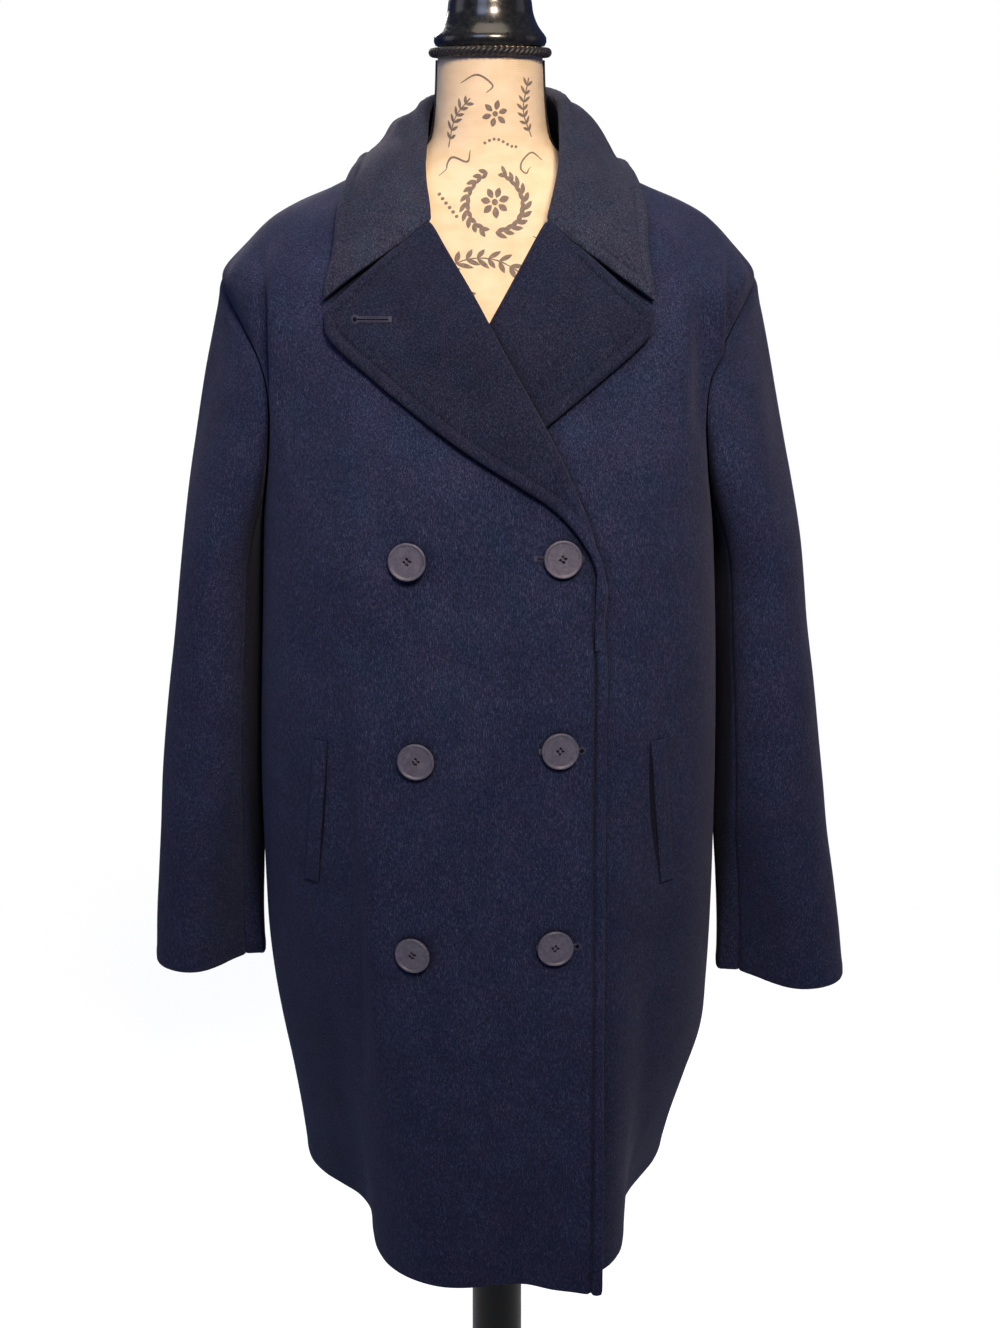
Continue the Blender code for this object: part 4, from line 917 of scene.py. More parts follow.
# A closed wall between two grids, its four rims rounded by the shares given for its first
# row, last column, last row and first column.
def wallPiece(name, outer, inner, finish, rounds=(1, 1, 1, 1), rimSteps=3, nodes=()):
    rows, columns = outer.shape[:2]
    half = rows * columns
    points, faces = [*outer.reshape(-1, 3), *inner.reshape(-1, 3)], []
    for j in range(rows - 1):
        for a in range(j * columns, (j + 1) * columns - 1):
            b = a + columns
            faces += [(a, a + 1, b + 1, b), (half + a, half + b, half + b + 1, half + a + 1)]
    loop = [(0, i, 0) for i in range(columns - 1)] + [(j, columns - 1, 1) for j in range(rows - 1)]
    loop += [(rows - 1, i, 2) for i in range(columns - 1, 0, -1)]
    loop += [(j, 0, 3) for j in range(rows - 1, 0, -1)]
    inwardStep = ((1, 0), (0, -1), (-1, 0), (0, 1))
    reaches = []
    for place, (j, i, edge) in enumerate(loop):
        before = loop[place - 1][2]
        steps = (inwardStep[edge], inwardStep[before])
        past = sum(unit(outer[j, i] - outer[j + dj, i + di]) for dj, di in steps)
        swell = min(rounds[edge], rounds[before])
        reaches.append(unit(past) * np.linalg.norm(outer[j, i] - inner[j, i]) / 2 * swell)
    rings = [[j * columns + i for j, i, _ in loop]]
    for step in range(1, rimSteps + 1):
        angle = pi * step / (rimSteps + 1)
        rings.append(list(range(len(points), len(points) + len(loop))))
        for (j, i, _), reach in zip(loop, reaches):
            thick = (outer[j, i] - inner[j, i]) / 2
            points.append(outer[j, i] - thick * (1 - cos(angle)) + reach * sin(angle))
    rings.append([half + k for k in rings[0]])
    return meshPiece(name, points, faces + joinRings(rings[::-1]), finish, nodes=nodes)


def sheetPiece(cut, word, name, outer, inner, finish, rounds=(1, 1, 1, 1)):
    piece = wallPiece(name + word, outer, inner, finish, rounds,
                      nodes=[cut + "_" + word.lower() if word else cut])


# Short stitches of thread laid along a line of points, half sunk in the cloth.
thread = dict(pitch=0.0034, stitch=0.0025, radius=0.00026, sides=5)


def stitchLine(points, normals):
    lengths = np.concatenate(([0.0], np.cumsum(np.linalg.norm(np.diff(points, axis=0), axis=1))))
    middles = (np.arange(int(lengths[-1] / thread["pitch"])) + 0.5) * thread["pitch"]

    def at(values, aside):
        places = middles + aside * thread["stitch"] / 2
        return np.stack([np.interp(places, lengths, column) for column in values.T], axis=1)

    return list(zip(at(points, -1), at(points, 1), unit(at(normals, 1))))


def circle(count, phase=0.0):
    return 2 * pi * np.arange(count)[:, None] / count + phase


def threadPiece(name, stitches, finish, radius=thread["radius"]):
    sides, turns = thread["sides"], circle(thread["sides"])
    points, faces = [], []
    for start, end, up in stitches:
        ahead = unit(end - start)
        across = unit(np.cross(ahead, up))
        ring = (across * np.cos(turns) + np.cross(across, ahead) * np.sin(turns)) * radius
        first = len(points)
        points.append(start)
        for share, size in ((0.12, 0.8), (0.5, 1.0), (0.88, 0.8)):
            points += [*(start + (end - start) * share + ring * size)]
        points.append(end)
        rings = (np.arange(3 * sides).reshape(3, sides) + first + 1).tolist()
        faces += joinRings(rings)
        faces += fan(first, rings[0][::-1]) + fan(len(points) - 1, rings[2])
    meshPiece(name, points, faces, finish, 180)


# Where the lines of a grid, going in from one of its edges, are this far from that edge.
def lineAt(points, normals, far, distance, axis=1, fromEnd=True):
    if axis == 0:
        points, normals, far = points.transpose(1, 0, 2), normals.transpose(1, 0, 2), far.T
    if fromEnd:
        points, normals, far = points[:, ::-1], normals[:, ::-1], far[:, ::-1]
    rows = np.arange(len(points))
    after = np.maximum(1, np.argmax(far >= distance, axis=1))
    step = far[rows, after] - far[rows, after - 1]
    share = np.clip((distance - far[rows, after - 1]) / np.maximum(1e-9, step), 0.0, 1.0)[:, None]
    places, ups = (mix(grid[rows, after - 1], grid[rows, after], share) for grid in (points, normals))
    return places, unit(ups)


def waysAlong(line, closed):
    return unit(np.roll(line, -1, axis=0) - np.roll(line, 1, axis=0) if closed else np.gradient(line, axis=0))


# A smooth tube along a line of points, for cords and piping.
def tubeMesh(path, radius, sides, closed=False):
    path = np.array(path)
    ahead = waysAlong(path, closed)
    side = unit(np.cross(ahead, (0.0, 0.13, 1.0)))[:, None]
    up = np.cross(side, ahead[:, None])
    turns = circle(sides)
    return loft(path[:, None] + (side * np.cos(turns) + up * np.sin(turns)) * radius, closed)


def joinedPiece(name, parts, finish, sharpAbove=55, nodes=()):
    points, faces = [], []
    for morePoints, moreFaces in parts:
        faces += [[len(points) + k for k in face] for face in moreFaces]
        points += [*morePoints]
    return meshPiece(name, points, faces, finish, sharpAbove, nodes)


def linear(colour):  # from sRGB hex
    values = [int(colour[k : k + 2], 16) / 255 for k in (1, 3, 5)]
    return [v / 12.92 if v <= 0.04045 else ((v + 0.055) / 1.055) ** 2.4 for v in values] + [1.0]


# One node with its settings by property or socket, and its links; gives one of its outputs.
# Stops are a colour ramp's places, each with a hex colour, three shares or one.
def addNode(tree, kind, settings, links={}, out=0):
    made = tree.nodes.new("ShaderNode" + kind)
    for name, value in settings.items():
        if name == "stops":
            for _ in value[2:]:
                made.color_ramp.elements.new(0.5)
            for element, (place, hue) in zip(made.color_ramp.elements, value):
                element.position = place
                element.color = linear(hue) if isinstance(hue, str) else [*np.broadcast_to(hue, 3), 1.0]
        elif isinstance(name, int) or name in made.inputs:
            made.inputs[name].default_value = value
        else:
            setattr(made, name, value)
    for name, source in links.items():
        tree.links.new(source, made.inputs[name])
    return made.outputs[out]


mixOf = {"data_type": "RGBA", "blend_type": "MULTIPLY", 0: 1.0}  # a mix node that multiplies colours


# A material, its node tree, its shader's sockets and a place on the piece.
def newFinish(name, settings):
    made = bpy.data.materials.new(name)
    made.use_nodes = True
    tree = made.node_tree
    sockets = tree.nodes["Principled BSDF"].inputs
    for socket, value in settings.items():
        sockets[socket].default_value = value
    return made, tree, sockets, addNode(tree, "TexCoord", {}, out="Object")


# Melton: wool woven, fulled until the weave is gone, then brushed and sheared. The eye sees
# a felted nap of short crossed hairs, a greyish bloom at glancing angles and no highlight.
# Hairs are 0.02 mm thick and drawn about ten times that, which is what a step away shows.
melton = dict(dark="#13182a", main="#1f2741", light="#343c5c", hair="#575d7e", bloom="#a6a8c4",
              napMm=1.6, hairMm=0.55, hairLong=7.0, cloudMm=45.0, paintedShadeMm=22.0)  # shade is painted into its folds and recesses over this distance


def makeMelton(name, shade=(1.0, 1.0, 1.0), heights=None):
    made, tree, sockets, place = newFinish(name, {
        "Roughness": 0.95, "Specular IOR Level": 0.12, "Sheen Weight": 0.15, "Sheen Roughness": 0.42,
        "Sheen Tint": linear(melton["bloom"])})
    nap, cloud, tint = (
        addNode(tree, "TexNoise", {"Scale": 1000 / mm, "Detail": detail, "Roughness": rough},
                {"Vector": place})
        for mm, detail, rough in ((melton["napMm"], 6.0, 0.72), (melton["cloudMm"], 4.0, 0.6),
                                  (melton["cloudMm"] / 1.8, 3.0, 0.55)))
    crossed, long = None, melton["hairLong"]
    fine = {"Scale": 1000 / melton["hairMm"] / long, "Detail": 2.0, "Roughness": 0.5}
    for lean in (-38, 9, 47):
        turned = {"Rotation": (0.2, radians(lean), 0.3), "Scale": (long, long, 1.0)}
        turned = addNode(tree, "Mapping", turned, {"Vector": place})
        hair = addNode(tree, "TexNoise", fine, {"Vector": turned})
        crossed = addNode(tree, "Math", {"operation": "MAXIMUM"}, {0: crossed, 1: hair}) if crossed else hair
    base = addNode(tree, "ValToRGB",
                   {"stops": [(0.3, melton["dark"]), (0.5, melton["main"]), (0.72, melton["light"])]},
                   {"Fac": nap})
    share = addNode(tree, "ValToRGB", {"stops": [(0.59, 0.0), (0.78, 0.95)]}, {"Fac": crossed})
    base = addNode(tree, "Mix", {"data_type": "RGBA", 7: linear(melton["hair"])}, {0: share, 6: base}, 2)
    for source, stops in ((cloud, [(0.35, (0.86, 0.86, 0.9)), (0.65, (1.16, 1.12, 1.1))]),
                          (tint, [(0.36, (1.07, 0.97, 0.99)), (0.5, 1.0), (0.64, (0.9, 1.03, 1.02))])):
        patches = addNode(tree, "ValToRGB", {"stops": stops}, {"Fac": source})
        base = addNode(tree, "Mix", mixOf, {6: base, 7: patches}, 2)
    # shade multiplies the colour: lit and shaded copies of the same wool, painted light and shade.
    shaded = addNode(tree, "Mix", {**mixOf, 7: [*shade, 1.0]}, {6: base}, 2)
    if heights:  # the painted shade comes in between these heights
        high = addNode(tree, "SeparateXYZ", {}, {"Vector": place}, "Z")
        share = addNode(tree, "MapRange", {"From Min": heights[0], "From Max": heights[1]}, {"Value": high})
        shaded = addNode(tree, "Mix", {"data_type": "RGBA"}, {0: share, 6: base, 7: shaded}, 2)
    # Painted shade: an ambient occlusion node darkens the colour in folds, creases, recesses and under edges.
    folds = addNode(tree, "AmbientOcclusion", {"samples": 6, "Distance": melton["paintedShadeMm"] / 1000}, out="AO")
    paintedFoldShade = addNode(tree, "ValToRGB", {"stops": [(0.3, 0.12), (0.62, 0.62), (0.9, 1.0)]}, {"Fac": folds})
    shaded = addNode(tree, "Mix", mixOf, {6: shaded, 7: paintedFoldShade}, 2)
    tree.links.new(shaded, sockets["Base Color"])
    felt = addNode(tree, "Bump", {"Strength": 0.6, "Distance": 0.0009}, {"Height": nap})
    felt = addNode(tree, "Bump", {"Strength": 0.6, "Distance": 0.0005}, {"Height": crossed, "Normal": felt})
    tree.links.new(felt, sockets["Normal"])
    return made


# A finish whose colour, and roughness if it varies, follow one noise of this size, in
# millimetres, and whose bumps follow that or another.
def makePlain(name, settings, grain, stops, bump=None, bumpGrain=None, rough=None, roughGrain=None):
    made, tree, sockets, place = newFinish(name, settings)
    noises = {}
    for one in (grain, bumpGrain or grain, roughGrain or grain):
        mm, detail, roughness, *swirl = one
        settings = {"Scale": 1000 / mm, "Detail": detail, "Roughness": roughness, "Distortion": sum(swirl)}
        noises[one] = noises.get(one) or addNode(tree, "TexNoise", settings, {"Vector": place})
    tree.links.new(addNode(tree, "ValToRGB", {"stops": stops}, {"Fac": noises[grain]}), sockets["Base Color"])
    if rough:
        worn = addNode(tree, "ValToRGB", {"stops": rough}, {"Fac": noises[roughGrain or grain]})
        tree.links.new(worn, sockets["Roughness"])
    if bump:
        tree.links.new(addNode(tree, "Bump", {"Strength": bump[0], "Distance": bump[1]},
                               {"Height": noises[bumpGrain or grain]}), sockets["Normal"])
    return made, tree, sockets, place


# Thread: polyester core-spun, wound tight. A touch smoother than the wool.
def makeThread(name, colour):
    dark = [c * 0.7 for c in linear(colour)[:3]]
    return makePlain(name, {"Roughness": 0.6, "Specular IOR Level": 0.35}, (0.4, 2.0, 0.6),
                     [(0.3, dark), (0.7, colour)], (0.4, 0.0002))[0]


# Linen: plain weave of slubby flax yarn pulled tight over the form. Threads are 0.5 mm in
# the cloth and drawn at 0.9 mm, which is what a step away shows.
linen = dict(cream="#e9d4b2", shadow="#e2cba5", slub="#eedcbc", yarnMm=0.9)


def makeLinen():
    made, tree, sockets, place = newFinish("wovenLinen", {
        "Roughness": 0.85, "Specular IOR Level": 0.25, "Sheen Weight": 0.08, "Sheen Roughness": 0.5})
    yarns = {"Scale": 157 / linen["yarnMm"], "Distortion": 1.2, "Detail": 2.0, "Detail Scale": 1.5}
    weave = [addNode(tree, "TexWave", {**yarns, "bands_direction": axis}, {"Vector": place}, "Fac")
             for axis in "XZ"]
    crossed = addNode(tree, "Math", {"operation": "MAXIMUM"}, dict(enumerate(weave)))
    stretch = addNode(tree, "Mapping", {"Scale": (1.0, 1.0, 2.0)}, {"Vector": place})
    slubs = addNode(tree, "TexNoise", {"Scale": 50.0, "Detail": 3.0, "Roughness": 0.5}, {"Vector": stretch})
    base = addNode(tree, "ValToRGB",
                   {"stops": [(0.3, linen["shadow"]), (0.52, linen["cream"]), (0.75, linen["slub"])]},
                   {"Fac": slubs})
    yarn = addNode(tree, "ValToRGB", {"stops": [(0.3, 0.94), (0.9, 1.02)]}, {"Fac": crossed})
    tree.links.new(addNode(tree, "Mix", mixOf, {6: base, 7: yarn}, 2), sockets["Base Color"])
    weaveBump = addNode(tree, "Bump", {"Strength": 0.35, "Distance": 0.0003}, {"Height": crossed})
    weaveBump = addNode(tree, "Bump", {"Strength": 0.2, "Distance": 0.0004},
                        {"Height": slubs, "Normal": weaveBump})
    tree.links.new(weaveBump, sockets["Normal"])
    return made


# Enamel brushed on turned wood and on steel: deep black, glossy, with slight waviness.
def makeEnamel(name, rough, coat, level):
    settings = {"IOR": 1.5, "Specular IOR Level": level, "Coat Weight": coat, "Coat Roughness": 0.12}
    return makePlain(name, settings, (4, 5.0, 0.7), [(0.4, "#161815"), (0.75, "#262824")], (0.12, 0.002),
                     (30, 3.0, 0.5), [(0.35, rough - 0.04), (0.8, rough + 0.1)])[0]


wool = makeMelton("brushedMelton")
# Painted shade: the cloth lying under the lapels and the collar is a darker copy of the same melton.
woolUnderShaded = makeMelton("brushedMeltonUnderShaded", (0.92, 0.92, 0.92))
# Painted shadow: a near-black copy of the wool, laid as thin sheets where a slit or a pocket's mouth is in
# shade.
shadowWool = makeMelton("paintedShadowMelton", (0.2, 0.2, 0.2))
# Painted light: the collar's wool is a lighter, greyer copy of the same melton, standing for the light that
# falls on it from above.
woolCollarLit = makeMelton("paintedLightMelton", (1.26, 1.16, 0.86))
# Painted shade: the lapels' wool is a darker copy of the same melton, coming in between these heights above
# the break.
woolLapelShaded = makeMelton("paintedShadeMelton", (0.68, 0.65, 0.6), (1.1, 1.2))
navyThread = makeThread("navyThread", "#1c1e33")
blackThread = makeThread("blackThread", "#0c0c0f")
silkTwist = makeThread("buttonholeTwist", "#4b4d63")
lintThread = makeThread("whiteLint", "#7f8094")
linenCloth = makeLinen()
# Printing ink rubbed into the weave: flat, greyish brown, broken where yarns stand up.
ink = makePlain("rubbedInk", {"Roughness": 0.8, "Specular IOR Level": 0.2}, (2.2, 4.0, 0.7),
                [(0.35, "#6f6359"), (0.6, "#84776b"), (0.78, "#a39480")])[0]
# Moulded plastic, tumbled: satin, with a faint marbling and soft scuffs.
buttonPlastic = makePlain("tumbledPlastic", {"Roughness": 0.42, "IOR": 1.5, "Specular IOR Level": 0.5},
                          (6, 4.0, 0.6, 1.5), [(0.3, "#4c4b5a"), (0.6, "#62616f"), (0.8, "#767585")],
                          (0.15, 0.0002), (0.8, 3.0, 0.7), [(0.3, 0.36), (0.7, 0.55)], (0.8, 3.0, 0.7))[0]
enamel = makeEnamel("blackEnamel", 0.24, 0.5, 0.5)
steelPaint = makeEnamel("bakedSteelPaint", 0.5, 0.0, 0.15)
# Twisted rayon cord: black, silky, with fine filaments along each strand.
rayon = makePlain("twistedRayon", {"Roughness": 0.45, "Specular IOR Level": 0.5, "Sheen Weight": 0.15,
                                   "Sheen Roughness": 0.4},
                  (0.7, 3.0, 0.6), [(0.3, "#0b0b0d"), (0.7, "#1c1c20")], (0.5, 0.0004))[0]
print("finishes made")


# What a user would change: points across a panel, how uneven the cloth hangs, and how much
# thicker its turned hem and edge are.
bodyCloth = dict(across=84, backAcross=84, down=130, waves=0.0007, hemThicker=0.0014, edgeThicker=0.0009)
frontCreases = tuple(crease(*row) for row in (
    (-0.126, 1.0, -0.118, 0.62, 0.012, -0.006), (-0.104, 0.99, -0.099, 0.58, 0.015, 0.0046),
    (-0.15, 0.99, -0.152, 0.86, 0.014, 0.0016), (-0.145, 0.7, -0.137, 0.56, 0.014, -0.003),
    (-0.022, 0.9, -0.026, 0.52, 0.022, -0.0022), (0.02, 0.74, 0.016, 0.5, 0.02, 0.0018),
    (0.118, 1.22, 0.108, 1.06, 0.028, 0.0042), (0.105, 1.05, 0.098, 0.56, 0.022, 0.0022),
    (0.15, 0.96, 0.146, 0.76, 0.014, -0.0022), (0.128, 0.78, 0.12, 0.5, 0.016, -0.0028),
    (-0.08, 0.76, -0.076, 0.49, 0.018, 0.0018), (-0.052, 0.86, -0.056, 0.6, 0.013, -0.0016),
    (-0.06, 1.06, -0.11, 1.18, 0.016, -0.0014), (-0.03, 1.08, -0.02, 0.93, 0.02, -0.0014),
))
# Folds that drop from the shoulder's end just in front of the armhole.
armholeFolds = tuple(crease(*row) for row in (
    (-0.1885, 1.335, -0.1885, 1.205, 0.005, -0.008), (-0.1775, 1.33, -0.1785, 1.18, 0.0065, 0.0034),
    (0.1785, 1.335, 0.177, 1.17, 0.0052, 0.006), (0.165, 1.325, 0.164, 1.19, 0.0095, -0.0046),
    (0.149, 1.325, 0.147, 1.15, 0.011, 0.0022), (0.189, 1.33, 0.187, 1.26, 0.0055, -0.0048),
))
backCreases = tuple(crease(*row) for row in (
    (-0.15, 1.33, -0.152, 1.18, 0.009, -0.0026), (0.148, 1.325, 0.15, 1.17, 0.009, -0.0026),
    (-0.02, 0.93, -0.03, 0.52, 0.02, -0.0018), (0.035, 0.88, 0.04, 0.5, 0.018, 0.0018),
    (-0.09, 1.0, -0.084, 0.56, 0.022, 0.0016), (0.092, 0.98, 0.1, 0.54, 0.02, -0.0016),
    (0.0, 1.38, 0.004, 1.18, 0.02, -0.0012),
))
# The front edge is a full fold that its stitching draws in behind, deepest near the break.
edgeFold = dict(wide=0.0086, soft=0.0015, puff=0.0015, beside=0.0009, dipHigh=0.0021, dipLow=0.0014)
faces = {}  # the finished visible faces, by piece, for what is sewn on them


# A laid patch as two grids, and where its rows come.
def clothGrids(laidOut):
    grids = [asArray(laidOut[0]), asArray(shifted(*laidOut, -wall))]
    return grids, crowded(ruler(grids[0], 0), bodyCloth["down"], plainSpots, sewnSpots)


def makeFront(word, side, seed):
    laidOut = laid(frontPatch(side), side, lambda x, z: baseLift(side, x, z))
    grids, rows = clothGrids(laidOut)
    (outer, inner), places = finer(grids, rows, bodyCloth["across"], sewnSpots, stitchedSpots,
                                   (sideRows,), (shoulderColumns,))
    normals = normalsOf(outer, inner)
    seamTop = outer[-1, places[-1] <= shoulderColumns + 0.01]
    fromEdge, fromSide, fromTop, fromHem = (
        distanceTo(outer, line) for line in (outer[:, -1], outer[:, 0], seamTop, outer[0]))
    hung = softWaves(outer, bodyCloth["waves"], seed) + creased(outer, normals, frontCreases)
    hung *= stepUp(0.0, 0.02, fromSide) * stepUp(0.0, 0.02, fromTop)
    hung += creased(outer, normals, armholeFolds) * stepUp(0.0, 0.009, fromSide) * stepUp(0.0, 0.006, fromTop)
    lower = stepUp(breakZ - 0.3, breakZ - 0.05, outer[..., 2])
    wide, dip = edgeFold["wide"], mix(edgeFold["dipLow"], edgeFold["dipHigh"], lower)
    detail = edgeFold["puff"] * stepUp(-0.001, 0.003, fromEdge) * stepUp(wide, 0.006, fromEdge)
    detail += edgeFold["beside"] * stepUp(wide, 0.0115, fromEdge) * stepUp(0.028, 0.012, fromEdge)
    detail -= dip * bell(fromEdge - wide, edgeFold["soft"])
    detail *= stepUp(breakZ - 0.02, breakZ - 0.046, outer[..., 2])
    detail += sewnValley(fromSide) + sewnValley(fromTop) + 0.0005 * bell(fromHem - 0.006, 0.006)
    thick = bodyCloth["hemThicker"] * bell(fromHem, 0.03) + bodyCloth["edgeThicker"] * bell(fromEdge, 0.012)
    inner = inner + normals * (hung - np.minimum(thick, bodyCloth["hemThicker"]))[..., None]
    face = outer + normals * (hung + detail)[..., None]
    faces["front" + word] = (face, normalsOf(face, inner))
    sheetPiece("front", word, "frontCloth", face, inner, wool, (1, 1, 0.1, 0.1))
    if side < 0:
        below = face[:, -1, 2] < breakZ - 0.012
        line, ups = lineAt(*faces["front" + word], fromEdge, wide)
        stitchRows.append(stitchLine(line[below], ups[below]))
    return laidOut


def makeBack():
    laidOut = laid(backPatch(), 1, lambda x, z: 0.0)
    grids, rows = clothGrids(laidOut)
    neckStart = shoulderColumns + backNeckColumns
    (outer, inner), places = finer(grids, rows, bodyCloth["backAcross"], sewnSpots, sewnSpots,
                                   (sideRows,), (shoulderColumns, neckStart), True)
    normals = normalsOf(outer, inner)
    seams = (outer[:, 0], outer[:, -1], outer[-1, places[-1] <= shoulderColumns + 0.01],
             outer[-1, places[-1] >= neckStart - 0.01])
    away = np.min([distanceTo(outer, seam) for seam in seams], axis=0)
    fromHem = distanceTo(outer, outer[0])
    hung = softWaves(outer, bodyCloth["waves"], 31) + creased(outer, normals, backCreases, 1)
    hung *= stepUp(0.0, 0.02, away)
    inner = inner + normals * (hung - bodyCloth["hemThicker"] * bell(fromHem, 0.03))[..., None]
    face = outer + normals * (hung + sewnValley(away) + 0.0005 * bell(fromHem - 0.006, 0.006))[..., None]
    faces["back"] = (face, normalsOf(face, inner))
    sheetPiece("back", "", "backCloth", face, inner, wool, (1, 0.1, 0.1, 0.1))
    return laidOut


stitchRows = []  # topstitching, gathered from every piece
panelGrids = {1: makeFront("Left", 1, 11), -1: makeFront("Right", -1, 12), 0: makeBack()}
print("body panels made")


# Two layers of cloth lie one on the other, and their edges are turned in and topstitched.
leafCloth = dict(across=26, down=78, collarDown=110, waves=0.0006, setBack=0.0004, full=0.0085,
                 fullAt=0.072)


def leafLayers(grids, rows, middles, name, alongEnds, tail=0):
    (outer, through), places = finer(grids, rows, middles, plainSpots, stitchedSpots)
    through = unit(through)
    if name == "collar":  # the leaf stands full over the sides of the neck
        far = np.abs(outer[..., 0] - coatX)
        full = bell(far - leafCloth["fullAt"], 0.03) * stepUp(1.365, 1.42, outer[..., 2])
        full = full * stepUp(standCells + 1, standCells + rollSteps + 3, places)
        outer = outer - through * (leafCloth["full"] * full)[..., None]
    thin = np.interp(rows, range(tail + 1), np.linspace(0.25, 1.0, tail + 1) if tail else (1.0,))
    inner = outer + through * (layer * thin)[:, None, None]
    normals = normalsOf(outer, inner)
    edge = outer[:, -1]
    fromEdge = distanceTo(outer, edge)
    band, valley = fromEdge.copy(), np.full(fromEdge.shape, 1.0)
    for end, notch in alongEnds:
        line = outer[end]
        free = places[end] >= notch - 0.02
        band = np.minimum(band, distanceTo(outer, line[free]))
        valley = np.minimum(valley, distanceTo(outer, line[~free | (places[end] <= notch + 0.15)]))
    waves = softWaves(outer, leafCloth["waves"], len(name)) * stepUp(0.0, 0.03, band)
    detail = stitchedBand(band) + sewnValley(valley) + waves
    face = outer + normals * detail[..., None]
    faces[name] = (face, normalsOf(face, inner))
    whole = rows >= tail
    under = (outer + through * (layer + seamGap))[whole]
    beneath = (outer + through * clothInLeaf)[whole]
    for grid in (under, beneath):
        grid[:, -1] += unit(grid[:, -2] - grid[:, -1]) * leafCloth["setBack"]
    return face, inner, under, beneath, fromEdge, places


def addLeafStitches(name, fromEdge, places, alongEnds):
    face, normals = faces[name]
    stitchIn = edgeBand["stitchIn"]
    keep = np.ones(len(face), bool)
    for end, notch in alongEnds:
        free = places[end] >= notch
        fromEnd = distanceTo(face, face[end, free])
        edgeAt = np.argmax(fromEdge[:, ::-1] >= stitchIn, axis=1)
        reach = fromEnd[np.arange(len(face)), face.shape[1] - 1 - edgeAt]
        keep &= reach >= stitchIn * 0.98
        line, ups = lineAt(face, normals, fromEnd, stitchIn, 0, end != 0)
        deep = distanceTo(line[None], face[:, -1])[0]
        along = free & (deep >= stitchIn * 0.98)
        stitchRows.append(stitchLine(line[along], ups[along]))
    width = fromEdge.max(axis=1)
    keep &= width > stitchIn * 1.5
    line, ups = lineAt(face, normals, fromEdge, stitchIn)
    stitchRows.append(stitchLine(line[keep], ups[keep]))


lapelFaces = {}
notchColumn = rollSteps + leafColumns * notchShare
for word, side in (("Left", 1), ("Right", -1)):
    lapelFaces[side] = lapelGrid(side, panelGrids[side])
    grids = [asArray(low + high) for low, high in zip(lapelTail(side), lapelFaces[side])]
    rows = crowded(ruler(grids[0][:, rollSteps:], 0), leafCloth["down"], plainSpots, stitchedSpots)
    ends = [(-1, notchColumn)]
    face, inner, under, beneath, fromEdge, places = leafLayers(
        grids, rows, leafCloth["across"], "lapel" + word, ends, len(tailRows))
    sheetPiece("facing", word, "facingCloth", face, inner, woolLapelShaded, (1, 1, 0.7, 1))
    sheetPiece("lapel", word, "lapelCloth", under, beneath, woolUnderShaded, (1, 1, 0.7, 1))
    addLeafStitches("lapel" + word, fromEdge, places, ends)


def collarGrids():
    left, leftThrough = collarHalf(1, panelGrids, lapelFaces[1])
    right, rightThrough = collarHalf(-1, panelGrids, lapelFaces[-1])
    grid = right[::-1] + left[1:]
    through = gridNormals(grid)
    for directions, known in zip(through, rightThrough[::-1] + leftThrough[1:]):
        for column, direction in known.items():
            directions[column] = direction
    return [asArray(grid), asArray(through)]


grids = collarGrids()
rows = crowded(ruler(grids[0][:, standCells + rollSteps :], 0), leafCloth["collarDown"], stitchedSpots,
               stitchedSpots)
ends = [(0, standCells + notchColumn), (-1, standCells + notchColumn)]
across = leafCloth["across"] + 8
face, inner, under, beneath, fromEdge, places = leafLayers(grids, rows, across, "collar", ends)
sheetPiece("upper_collar", "", "upperCollarCloth", face, inner, woolCollarLit, (0.7, 1, 0.7, 1))
sheetPiece("under_collar", "", "underCollarCloth", under, beneath, woolUnderShaded, (0.7, 1, 0.7, 1))
addLeafStitches("collar", fromEdge, places, ends)
print("lapels and collar made")


sleeveCloth = dict(topAcross=44, underAcross=20, down=84, waves=0.0007, cuffThicker=0.0014, headPuff=0.0012)
sleeveCreases = tuple(crease(*row) for row in (
    (-0.262, 1.25, -0.27, 1.11, 0.009, 0.0018), (-0.245, 1.23, -0.252, 1.08, 0.01, -0.0016),
    (-0.268, 1.0, -0.262, 0.86, 0.014, -0.0014), (-0.24, 0.9, -0.25, 0.74, 0.014, 0.0014),
    (0.232, 1.27, 0.25, 1.0, 0.012, -0.0022), (0.248, 1.22, 0.262, 1.04, 0.012, 0.0014),
    (0.262, 0.96, 0.276, 0.8, 0.014, -0.0016), (0.238, 0.9, 0.25, 0.76, 0.014, 0.0014),
    (-0.288, 1.23, -0.318, 1.02, 0.006, 0.0016), (-0.236, 1.29, -0.232, 1.13, 0.009, -0.002),
))
snug = {1: 0.0046, -1: 0.0034}  # how much nearer to the body's side the forearm of each hangs
